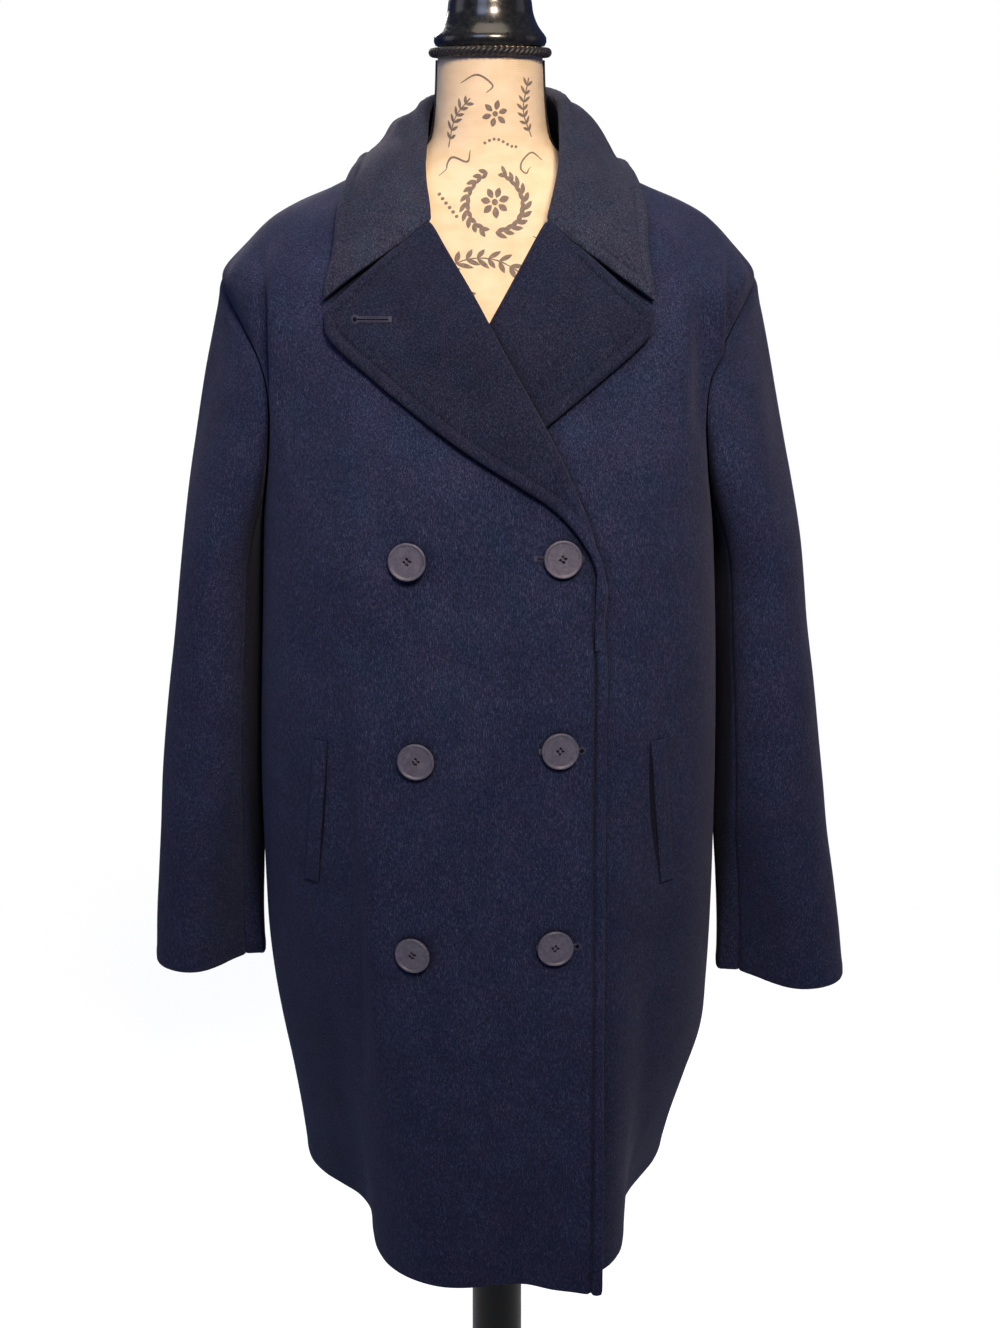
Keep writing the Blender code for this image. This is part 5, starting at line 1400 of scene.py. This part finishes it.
for word, side, rings in (("Left", 1, sleeveLeft), ("Right", -1, sleeveRight)):
    lines = sleeveColumns(side, rings)
    columns = len(lines)
    coarse = [[line[j] for line in lines] for j in range(len(lines[0]))]
    inside = []
    for j, (row, directions) in enumerate(zip(coarse, gridNormals(coarse, closed=True))):
        inward = [(sum(row, Vector()) / columns - point).normalized() for point in row]
        ways = [turnedTo(way if j else into, into) for way, into in zip(directions, inward)]
        inside.append([point + way * wall for point, way in zip(row, ways)])
    if side < 0:
        coarse, inside = ([[mirrored(p) for p in row] for row in grid] for grid in (coarse, inside))
    coarse, inside = asArray(coarse), asArray(inside)
    for grid in (coarse, inside):
        high = grid[..., 2]
        grid[..., 0] -= side * snug[side] * stepUp(1.13, 0.99, high) * stepUp(0.755, 0.82, high)
    for part, start, end in (("top", -topSleeveBack, topSleeveFront),
                             ("under", topSleeveFront, columns - topSleeveBack)):
        span = [k % columns for k in range(start - 1, end + 2)]
        grids = [coarse[:, span], inside[:, span]]
        rows = crowded(ruler(grids[0], 0), sleeveCloth["down"], sewnSpots, plainSpots)
        weights = curveWeights(rows, len(coarse) - 1)
        outer, inner = (np.einsum("ri,ijk->rjk", weights, grid) for grid in grids)
        marks = ruler(outer[:, 1:-1], 1)
        across = curveWeights(crowded(marks, sleeveCloth[part + "Across"], sewnSpots, sewnSpots) + 1,
                              len(span) - 1)
        outer, inner = (np.einsum("rjk,cj->rck", grid, across) for grid in (outer, inner))
        for grid in (outer, inner):
            for edge, near in ((0, 1), (-1, -2)):
                grid[:, edge] += unit(grid[:, near] - grid[:, edge]) * (0.9 * seamGap)
        normals = normalsOf(outer, inner)
        fromSeams = np.minimum(distanceTo(outer, outer[:, 0]), distanceTo(outer, outer[:, -1]))
        fromHead, fromCuff = distanceTo(outer, outer[0]), distanceTo(outer, outer[-1])
        hung = softWaves(outer, sleeveCloth["waves"], 41 + side) + creased(outer, normals, sleeveCreases)
        hung *= stepUp(0.0, 0.02, fromHead) * stepUp(0.0, 0.012, fromSeams)
        detail = sewnValley(fromSeams) + sewnValley(fromHead) + 0.0005 * bell(fromCuff - 0.006, 0.006)
        if part == "top":
            puff = sleeveCloth["headPuff"] * stepUp(1.15, 1.25, outer[..., 2])
            detail += puff * bell(fromHead - 0.009, 0.007)
        thick = sleeveCloth["cuffThicker"] * bell(fromCuff, 0.03)
        inner = inner + normals * (hung - thick)[..., None]
        face = outer + normals * (hung + detail)[..., None]
        faces[part + "Sleeve" + word] = (face, normalsOf(face, inner))
        sheetPiece(part + "_sleeve", word, part + "SleeveCloth", face, inner, wool, (0.1, 0.1, 1, 0.1))
print("sleeves made")


# A place and the direction out of a finished face, found by x and height.
def faceAt(name, x, z):
    points, normals = faces[name]
    points, normals = points.reshape(-1, 3), normals.reshape(-1, 3)
    seen = normals[:, 1] < -0.1 if name != "back" else normals[:, 1] > 0.1
    away = (points[:, 0] - x) ** 2 + (points[:, 2] - z) ** 2 + np.where(seen, 0, 1.0)
    near = np.argpartition(away, 4)[:4]
    share = 1 / (away[near] + 1e-9)
    share /= share.sum()
    normal = unit((normals[near] * share[:, None]).sum(axis=0))
    spots = points[near]
    ys = spots[:, 1] - (normal[0] * (x - spots[:, 0]) + normal[2] * (z - spots[:, 2])) / normal[1]
    return np.array((x, float((ys * share).sum()), z)), normal


threadPiece("topstitching", [stitch for row in stitchRows for stitch in row], navyThread)
print("topstitching sewn:", sum(len(row) for row in stitchRows), "stitches")


weltCloth = dict(rows=60, columns=16, rise=0.0006, thick=0.0011)


def makeWelt(word, side):
    rows, columns = weltCloth["rows"], weltCloth["columns"]
    outer, inner = np.zeros((2, rows + 1, columns + 1, 3))
    for j, i in np.ndindex(rows + 1, columns + 1):
        share, part = j / rows, i / columns
        x, z = (mix(low, high, share) for low, high in zip(weltBottom, weltTop))
        place, normal = faceAt("front" + word, coatX + side * (x + weltWidth * part), z)
        crown = weltCloth["rise"] * (1 - (2 * part - 1) ** 4) * (1 - (2 * share - 1) ** 30)
        outer[j, i] = place + normal * (restGap + weltCloth["thick"] + crown)
        inner[j, i] = place + normal * restGap
    sheetPiece("welt", word, "weltCloth", outer, inner, wool)


# Painted shadow: a near-black sheet of the wool lies beside the welt's free edge, where the pocket's mouth
# gapes in shade.
mouthShadow = dict(rows=50, wideLeft=0.0042, wideRight=0.002, lift=0.0003)


def makeMouthShadow(word, side):
    outer, inner = np.zeros((2, mouthShadow["rows"] + 1, 3, 3))
    for j, i in np.ndindex(mouthShadow["rows"] + 1, 3):
        share = j / mouthShadow["rows"]
        z = mix(weltBottom.height + 0.004, weltTop.height - 0.003, share)
        half = max(0.0003, mouthShadow["wide" + word] * sin(pi * share) ** 0.8)
        x = mix(weltBottom.x, weltTop.x, share) - half * (-0.15, 0.4, 1.0)[i]
        place, normal = faceAt("front" + word, coatX + side * x, z)
        outer[j, i], inner[j, i] = place + normal * mouthShadow["lift"], place - normal * 0.0005
    wallPiece("pocketMouthShadow" + word, outer, inner, shadowWool, (0.1, 0.1, 0.1, 0.1), 1)


for word, side in (("Left", 1), ("Right", -1)):
    makeWelt(word, side)
    makeMouthShadow(word, side)
print("welts made")


buttonShape = dict(segments=72, rim=0.0015, dish=0.0011, holeReach=holeReach, holeRadius=0.001,
                   holeDeep=0.0019, threads=2)


def buttonSolid():
    radius, thick, rim, dish = buttonDiameter / 2, buttonThickness, buttonShape["rim"], buttonShape["dish"]
    profile = [(r, thick - dish) for r in np.arange(0.0003, radius - rim - 0.0012, 0.0003)]
    profile += [(radius - rim - 0.0008, thick - dish * 0.75), (radius - rim - 0.0003, thick - 0.0003),
                (radius - rim + 0.0002, thick - 0.00004), (radius - 0.0008, thick),
                (radius - 0.0003, thick - 0.0003), (radius, thick - 0.0009), (radius, thick * 0.42),
                (radius - 0.0006, thick * 0.24), (radius * 0.9, 0.0002), (radius * 0.84, 0.0)]
    segments = buttonShape["segments"]
    points, reach = [(0.0, 0.0, thick - dish)], buttonShape["holeReach"]
    for r, h in profile:
        for x, y in r * np.concatenate((np.cos(circle(segments)), np.sin(circle(segments))), axis=1):
            away = hypot(abs(x) - reach, abs(y) - reach) / buttonShape["holeRadius"]
            points.append((x, y, h - buttonShape["holeDeep"] * stepUp(1.25, 0.8, away) * (r < 0.008)))
    points.append((0.0, 0.0, 0.0))
    rings = (np.arange(len(profile) * segments).reshape(-1, segments) + 1).tolist()
    solidFaces = joinRings(rings[::-1])
    return points, solidFaces + fan(0, rings[0]) + fan(len(points) - 1, rings[-1][::-1])


def buttonThreads():
    reach, height = buttonShape["holeReach"], buttonThickness - buttonShape["dish"]
    stitches = []
    for side in (-1, 1):
        for shift in np.linspace(-0.00025, 0.00025, buttonShape["threads"]):
            bow = height + 0.0004 * (1 - abs(shift) / 0.001)
            ends = np.array([(side * reach + shift, y, z) for y, z in (
                (-reach + 0.0002, height - 0.0006), (-reach * 0.5, bow), (reach * 0.5, bow),
                (reach - 0.0002, height - 0.0006))])
            stitches += [(a, b + (b - a) * 0.08, (0.0, 0.0, 1.0)) for a, b in zip(ends, ends[1:])]
    return stitches


def buttonHoles():
    reach, height = buttonShape["holeReach"], buttonThickness - buttonShape["dish"]
    return [((x, y, height - 0.0019), (x, y, height - 0.0005), (1.0, 0.0, 0.0))
            for x in (-reach, reach) for y in (-reach, reach)]


buttonTurns = dict(button_right_1=50, button_left_1=55, button_right_2=47, button_left_2=41,
                   button_right_3=62, button_left_3=38)  # degrees that each is turned as sewn on


def buttonPlace(spot):
    normal = bodyNormal(frontTurn(*spot), spot.height)
    centre = onFront(-1, -spot.x, spot.height, 0.0)
    proud = 0.0
    for ring in (0.3, 0.45):
        for angle in circle(16)[:, 0]:
            x = spot.x + ring * buttonDiameter * cos(angle)
            onCloth, _ = faceAt("frontRight", coatX + x,
                                spot.height + ring * buttonDiameter * sin(angle))
            proud = max(proud, (Vector(onCloth) - centre).dot(normal))
    return centre + normal * (proud + restGap), normal.to_track_quat("Z", "Y")


threadsOnButtons, threadsInHoles = [], []
solidPoints, solidFaces = buttonSolid()
for name, spot in buttonSpots.items():
    seat, facing = buttonPlace(spot)
    facing = facing @ Quaternion((0, 0, 1), radians(buttonTurns[name]))
    _, column, row = name.split("_")
    points = [seat + facing @ Vector(p) for p in solidPoints]
    meshPiece("turnedButton" + column.capitalize() + row, points, solidFaces, buttonPlastic, 40,
              [name])
    for kept, parts in ((threadsOnButtons, buttonThreads()), (threadsInHoles, buttonHoles())):
        for start, end, up in parts:
            ends = (seat + facing @ Vector(start), seat + facing @ Vector(end), facing @ Vector(up))
            kept.append([np.array(place) for place in ends])
threadPiece("buttonThreads", threadsOnButtons, blackThread, 0.00015)
threadPiece("buttonShanks", threadsInHoles, blackThread, 0.00085)
print("buttons made")


formCloth = dict(around=120, down=150)


def formPoint(angle, height):
    at = {name: curve(height) for name, curve in formCurves.items()}
    point = sectionPoint(at, angle, at["half"], height) - Vector((at["lean"], 0, 0))
    return heldBetween(point, -inf, -wall - formRest) if 1.2 < height < neckZ else point


formCurves = {name: tableCurve(formSections, name) for name in formSection._fields[1:]}


def makeTorso():
    low, high = formSections[0].height, formSections[-1].height
    heights = [place.y for place in evenly(
        lambda share: Vector((formCurves["half"](mix(low, high, share)), mix(low, high, share), 0.0)),
        formCloth["down"])]
    rings = [[formPoint(angle, z) for angle in circle(formCloth["around"])[:, 0]] for z in heights]
    joinedPiece("coveredTorso", [loft(rings)], linenCloth, 60, ["form_torso"])


makeTorso()


# A piece turned from a profile of radii and heights above its foot.
def turnedPiece(name, x, foot, finish, node, profile, segments=96):
    turns = circle(segments)[:, 0]
    rings = [[(x + r * cos(a), r * sin(a), foot + z) for a in turns] for r, z in profile]
    joinedPiece(name, [loft(rings)], finish, 35, [node])


def smoothLine(corners, count):
    return curveWeights(np.linspace(0, len(corners) - 1, count), len(corners) - 1) @ np.array(corners)


# A profile's corners rounded into a smooth line of many points.
def smoothProfile(corners, steps=5):
    return [(max(0.0005, r), z) for r, z in smoothLine(corners, (len(corners) - 1) * steps + 1)]


neckX, neckTop = -formSections[-1].lean, formSections[-1].height
low = formSections[0].height
turnedPiece("turnedNeckCap", neckX, neckTop, enamel, "neck_cap", [
    (0.04, seamGap), (0.0444, 0.0014), (0.0458, 0.0045), (0.0456, 0.008), (0.0436, 0.011),
    *smoothProfile([(0.0425, 0.0122), (0.0385, 0.018), (0.035, 0.027), (0.0332, 0.038), (0.029, 0.048),
                    (0.02, 0.0555), (0.008, capTop - neckTop - 0.0002)]),
    (0.0035, capTop - neckTop), (0.0006, capTop - neckTop)])
turnedPiece("turnedPost", 0.0, baseHeight, steelPaint, "form_post", [
    (0.0288, seamGap), (0.03, 0.0015), (0.03, 0.0105), (0.029, 0.012), (0.024, 0.013),
    *smoothProfile([(0.0236, 0.014), (postRadius, 0.03), (postRadius * 1.02, 0.2 - baseHeight),
                    (postRadius * 1.02, 0.34 - baseHeight), (postRadius * 0.97, 0.5 - baseHeight),
                    (postRadius * 0.92, low - baseHeight - 0.03)]),
    *((r, low - baseHeight - below) for r, below in (
        (0.0225, 0.024), (0.033, 0.0135), (0.034, 0.012), (0.034, 0.002), (0.0332, seamGap)))])
turnedPiece("turnedBase", 0.0, 0.0, enamel, "form_base", [
    *((baseRadius - less, z) for less, z in (
        (0.0042, 0.0), (0.002, 0.0006), (0.0004, 0.003), (0.0, 0.006), (0.0, 0.012), (0.001, 0.015),
        (0.005, 0.0176))),
    *smoothProfile([(baseRadius - 0.007, 0.0182), (baseRadius * 0.8, 0.0212), (baseRadius * 0.55, 0.024),
                    (0.06, 0.0275), (0.045, 0.029), (0.04, baseHeight)], 4),
    (0.03, baseHeight), (0.001, baseHeight)], 128)


# Three strands of cord twisted round each other and round the top of the neck.
neckRope = dict(radius=0.0464, height=neckTop - 0.0038, strand=0.0019, twist=0.0019, turns=21, around=600)


def makeRope():
    parts = []
    for strand in range(3):
        path = []
        for angle in circle(neckRope["around"])[:, 0]:
            phase = angle * neckRope["turns"] + 2 * pi * strand / 3
            radius = neckRope["radius"] + neckRope["twist"] * cos(phase)
            path.append((neckX + radius * cos(angle), radius * sin(angle),
                         neckRope["height"] + neckRope["twist"] * 1.05 * sin(phase)))
        parts.append(tubeMesh(path, neckRope["strand"], 9, closed=True))
    joinedPiece("twistedNeckCord", parts, rayon, 180, ["neck_cord"])


makeRope()
print("dress form made")


# Keyhole buttonholes: an eye, a slit and a bar, edged with close stitches of twist. Real
# stitches are 0.5 mm apart; these are 0.8, so that they show.
buttonhole = dict(eye=0.002, slit=0.00065, pitch=0.0008, stitch=0.0019, radius=0.0003, bar=6)


def makeButtonhole(name, face, eyeX, eyeZ, barX, barZ):
    start, way = np.array((eyeX, eyeZ)), np.array((barX - eyeX, barZ - eyeZ))
    length = np.linalg.norm(way)
    way /= length
    across = np.array((-way[1], way[0]))

    def spot(along, aside, lift):
        x, z = start + way * along + across * aside
        place, normal = faceAt(face, x, z)
        return place + normal * lift, normal

    eye, slit = buttonhole["eye"], buttonhole["slit"]
    joins = asin(slit / eye)
    outline = []
    for sign in (1, -1):
        count = int((length - eye) / buttonhole["pitch"])
        for k in range(count + 1):
            along = eye * cos(joins) + (length - eye * cos(joins)) * k / count
            outline.append(((along, sign * slit), (0.0, sign * 1.0)))
    count = int(2 * (pi - joins) * eye / buttonhole["pitch"]) + 4
    for k in range(count + 1):
        angle = joins + 2 * (pi - joins) * k / count
        outline.append(((eye * cos(angle), eye * sin(angle)), (cos(angle), sin(angle))))
    stitches = []
    for (along, aside), (outAlong, outAside) in outline:
        a, up = spot(along, aside, 0.0004)
        b, _ = spot(along + outAlong * buttonhole["stitch"], aside + outAside * buttonhole["stitch"], 0.0002)
        stitches.append((a, b, up))
        ahead = 0.0004
        c, _ = spot(along - outAside * ahead, aside + outAlong * ahead, 0.0006)
        d, _ = spot(along + outAside * ahead, aside - outAlong * ahead, 0.0006)
        stitches.append((c, d, up))
    for k in range(buttonhole["bar"]):
        along = length + k * 0.0004
        a, up = spot(along, -slit - 0.0019, 0.0006)
        b, _ = spot(along, slit + 0.0019, 0.0006)
        stitches.append((a, b, up))
    threadPiece(name + "Stitches", stitches, silkTwist, buttonhole["radius"])
    outer, inner = [], []
    for aside in (-1.0, 0.0, 1.0):
        row, low = [], []
        for along in np.concatenate((np.linspace(-eye, eye, 12)[:-1], np.linspace(eye, length, 14))):
            half = max(slit, sqrt(max(0.0, eye * eye - along * along))) if along < eye else slit
            half = min(half, sqrt(max(1e-10, eye * eye - along * along))) if along < 0 else half
            row.append(spot(along, aside * half, 0.00022)[0])
            low.append(spot(along, aside * half, -0.0004)[0])
        outer.append(row)
        inner.append(low)
    # Painted shadow: a dark sheet of wool lies in the slit, where the cut is in shade.
    wallPiece(name + "SlitShadow", np.array(outer), np.array(inner), shadowWool, (0.1, 0.1, 0.1, 0.1), 1)


makeButtonhole("lapelHole", "lapelRight", -0.1095, 1.2915, -0.083, 1.2918)
for row, (eyeX, barX,
          z) in enumerate(((0.066, 0.032, 1.109), (0.0685, 0.036, 0.953), (0.0665, 0.035, 0.785)), 1):
    makeButtonhole(f"frontHole{row}", "frontRight", eyeX, z, barX, z + 0.0006)
print("buttonholes worked")


def strandOn(face, spots, lift, radius, steps=14):
    corners = [place + normal * lift for place, normal in (faceAt(face, *spot) for spot in spots)]
    return tubeMesh(smoothLine(corners, steps), radius, 5)


looseEnd = [(-0.0655, 0.762), (-0.0648, 0.756), (-0.0627, 0.745), (-0.0582, 0.7425)]
joinedPiece("looseThread", [strandOn("frontRight", looseEnd, 0.0006, 0.0003)], silkTwist, 180)
lint = dict(short=0.0007, long=0.0032, radius=0.0001)


def makeLint():
    dice = random.Random(77)
    where = [("frontRight", (-0.13, 0.07), (0.56, 1.14), 40), ("frontLeft", (0.1, 0.13), (0.58, 1.15), 12),
             ("topSleeveLeft", (0.215, 0.245), (0.8, 1.08), 12),
             ("topSleeveRight", (-0.245, -0.215), (0.8, 1.08), 12),
             ("back", (-0.14, 0.14), (0.56, 1.25), 30)]
    strands = []
    for face, (x1, x2), (z1, z2), count in where:
        for _ in range(count):
            x, z = dice.uniform(x1, x2), dice.uniform(z1, z2)
            turn, size = dice.uniform(0, pi), dice.uniform(lint["short"], lint["long"]) / 2
            bend = dice.uniform(-0.6, 0.6) * size
            dx, dz = cos(turn) * size, sin(turn) * size
            spots = [(x - dx, z - dz), (x - dz * bend / size, z + dx * bend / size), (x + dx, z + dz)]
            strands.append(strandOn(face, spots, 0.0003, lint["radius"], 5))
    joinedPiece("lintFibres", strands, lintThread, 180)


makeLint()
print("lint laid")


# A plain garden pattern: sprigs, rosettes, dotted lines and long scrolls. Places are given
# as the distance round from the centre front, plus to the wearer's left, and height.
printed = dict(lift=0.00014, thick=0.0001)


def coverSpot(aside, z, lift):
    angle = aside / min(formCurves["half"](z), 0.075)
    place = formPoint(angle, z)
    normal = (formPoint(angle + 0.02, z) - place).cross(formPoint(angle, z + 0.002) - place).normalized()
    return place + normal * lift


def ribbon(line, widths, closed=False):
    line = np.array(line)
    high, low = printed["lift"], -printed["thick"]
    rings = []
    for place, way, wide in zip(line, waysAlong(line, closed), widths):
        aside = np.array((-way[1], way[0])) * wide / 2
        rings.append([coverSpot(*(place + aside * side), lift)
                      for side, lift in ((-1, high), (1, high), (1, low), (-1, low))])
    return loft(rings, closed)


def leafShape(place, turn, length, wide):
    way = np.array((cos(turn), sin(turn)))
    line = [np.array(place) + way * length * k / 8 for k in range(9)]
    return ribbon(line, [max(0.0002, wide * sin(pi * k / 8) ** 0.8) for k in range(9)])


def sprig(corners, leaves, size, dice):
    parts = [ribbon(smoothLine(corners, 18), [0.0008 + 0.0005 * dice.random() for _ in range(18)])]
    line = smoothLine(corners, leaves + 2)
    for k in range(1, leaves + 1):
        way = line[k + 1] - line[k - 1]
        for side in (-1, 1):
            turn = atan2(way[1], way[0]) + side * dice.uniform(0.6, 0.9)
            parts.append(leafShape(line[k], turn, size * dice.uniform(0.8, 1.15), size * 0.34))
    return parts


def ringSpot(u, z, size, turn):
    return u + size * cos(turn), z + size * sin(turn)


def dot(u, z, size):
    return ribbon([ringSpot(u, z, size * 0.5, turn) for turn in circle(10)[:, 0]], [size * 0.9] * 10,
                  closed=True)


def rosette(u, z, size, petals, dice):
    return [dot(u, z, size * 0.22)] + [
        leafShape(ringSpot(u, z, size * 0.28, turn), turn, size * 0.72 * dice.uniform(0.9, 1.1), size * 0.42)
        for turn in circle(petals, 0.3)[:, 0]]


def makePrint():
    dice = random.Random(5)
    parts = []
    for k, turn in enumerate(circle(24)[:, 0]):
        if k in (5, 6, 17):
            continue
        for lean in (-0.45, 0.45):
            parts.append(leafShape(ringSpot(0.004, 1.378, 0.0235, turn), turn + pi / 2 + lean,
                                   dice.uniform(0.0072, 0.0094), 0.0036))
    parts += rosette(0.004, 1.378, 0.0125, 7, dice)
    parts += sprig([(-0.034, 1.322), (-0.016, 1.334), (0.006, 1.333), (0.026, 1.318)], 8, 0.0105, dice)
    parts += sprig([(-0.036, 1.42), (-0.03, 1.442), (-0.016, 1.458)], 6, 0.008, dice)
    parts += sprig([(0.036, 1.428), (0.028, 1.449), (0.034, 1.474)], 7, 0.0072, dice)
    parts += rosette(0.004, 1.446, 0.0105, 6, dice)
    parts += rosette(-0.018, 1.306, 0.009, 5, dice)
    for corners, wide in (
            ([(-0.046, 1.398), (-0.034, 1.412), (-0.02, 1.409), (-0.016, 1.418)], 0.0012),
            ([(0.048, 1.41), (0.036, 1.416), (0.028, 1.408), (0.033, 1.4), (0.039, 1.405)], 0.0011),
            ([(-0.024, 1.47), (-0.01, 1.476), (0.002, 1.468), (-0.003, 1.462)], 0.0009),
            ([(0.03, 1.352), (0.04, 1.342), (0.036, 1.33), (0.028, 1.334)], 0.0013)):
        parts.append(ribbon(smoothLine(corners, 30),
                            [0.0006 + wide * sin(pi * k / 29) for k in range(30)]))
    parts += [dot(-0.004 + 0.0036 * k, 1.4235 + 0.003 * sin(k * 0.7), 0.0013) for k in range(8)]
    parts += [dot(-0.04 + 0.003 * k, 1.384 - 0.0034 * k, 0.0014) for k in range(6)]
    for side in (-1, 1):  # and round the back of the neck
        parts += sprig([(side * 0.09, 1.43), (side * 0.08, 1.446), (side * 0.078, 1.462)], 5, 0.0065, dice)
        parts += rosette(side * 0.112, 1.45, 0.009, 6, dice)
    joinedPiece("printedOrnament", parts, ink, 60)


makePrint()
piping = []
for side in (-1, 1):
    line = [formPoint(side * radians(91.0), z) + Vector((side * 0.0006, 0.0, 0.0004))
            for z in np.linspace(neckTop - 0.01, 1.372, 40)]
    piping.append(tubeMesh(line, 0.0011, 8))
joinedPiece("neckPiping", piping, rayon, 60)
print("cover printed and piped")


studio = dict(floor="#f7f7f6", glow=0.86, fadeFrom=0.9, floorSize=2.4, world=0.11, sky="#7295ff")
lamp = namedtuple("lamp", "name at aim wide high spread power colour")
lamps = tuple(lamp(*row) for row in (
    ("keyLight", (0.36, -1.75, 2.5), (0.03, 0.0, 1.38), 0.5, 0.5, 70, 8.1, "#ffe6ce"),
    ("fillLight", (-0.7, -1.75, 2.5), (-0.05, 0.0, 1.4), 0.9, 0.9, 76, 1.9, "#ccd8ff"),
    ("topLight", (0.0, -0.35, 2.9), (0.0, 0.0, 1.3), 1.2, 0.8, 110, 2.8, "#ffeed8"),
    ("rightLight", (2.2, 0.1, 1.7), (0.0, 0.0, 1.0), 1.0, 1.4, 100, 0.5, "#f4f2ff"),
    ("leftLight", (-2.2, 0.1, 1.7), (0.0, 0.0, 1.0), 1.0, 1.4, 100, 1.0, "#f4f2ff"),
    ("backLight", (-0.5, 1.9, 2.3), (0.0, 0.0, 1.15), 1.0, 1.0, 90, 9.0, "#fff6ec"),
))


# Seamless paper: matt, evenly coloured, with the faintest mottling of its pulp. It glows as a
# lit table does, and fades into the white beyond it.
def makePaper():
    made, tree, sockets, place = makePlain("seamlessPaper", {
        "Roughness": 0.95, "Specular IOR Level": 0.1, "Emission Strength": studio["glow"]},
        (50, 2.0, 0.5), [(0.3, studio["floor"]), (0.7, "#fafaf9")])
    reach = addNode(tree, "VectorMath", {"operation": "LENGTH"}, {0: place}, "Value")
    fade = addNode(tree, "MapRange", {"From Min": studio["fadeFrom"], "From Max": studio["floorSize"],
                                      "To Min": 1.0, "To Max": 0.0}, {"Value": reach})
    tree.links.new(fade, sockets["Alpha"])
    return made


def makeStage():
    mesh = bpy.data.meshes.new("paperFloor")
    mesh.from_pydata([(*ringSpot(0.0, 0.0, studio["floorSize"], turn), 0.0) for turn in circle(96)[:, 0]],
                     [], [range(96)])
    mesh.materials.append(makePaper())
    floor = placed("paperFloor", mesh)
    floor.visible_diffuse = False  # as if flagged off, so that the cloth's sides stay dark


def addLamp(one):
    data = bpy.data.lights.new(one.name, "AREA")
    data.shape, data.size, data.size_y = "RECTANGLE", one.wide, one.high
    data.spread, data.energy, data.color = radians(one.spread), one.power, linear(one.colour)[:3]
    light = placed(one.name, data)
    light.location = one.at
    light.rotation_euler = (Vector(one.aim) - Vector(one.at)).to_track_quat("-Z", "Y").to_euler()


makeStage()
for one in lamps:
    addLamp(one)
scene.view_settings.view_transform = "Standard"
world = bpy.data.worlds.new("studioWorld")
scene.world = world
world.use_nodes = True
tree = world.node_tree
shown = addNode(tree, "LightPath", {}, out="Is Camera Ray")  # white behind, dim blue on the cloth
sky = tree.nodes["Background"].inputs
for socket, dim in (("Color", studio["sky"]), ("Strength", studio["world"])):
    source = addNode(tree, "ValToRGB", {"stops": [(0.0, dim), (1.0, 1.0)]}, {"Fac": shown})
    tree.links.new(source, sky[socket])

camera = placed("camera", bpy.data.cameras.new("camera"))
camera.data.lens = 54.217
camera.data.sensor_width = 36.0
camera.data.sensor_fit = "AUTO"
camera.location = (0.003, -1.7, 1.435)
camera.rotation_euler = (radians(75.0), 0.0, 0.0)
scene.camera = camera

bpy.context.view_layer.update()
print("pea coat ready")
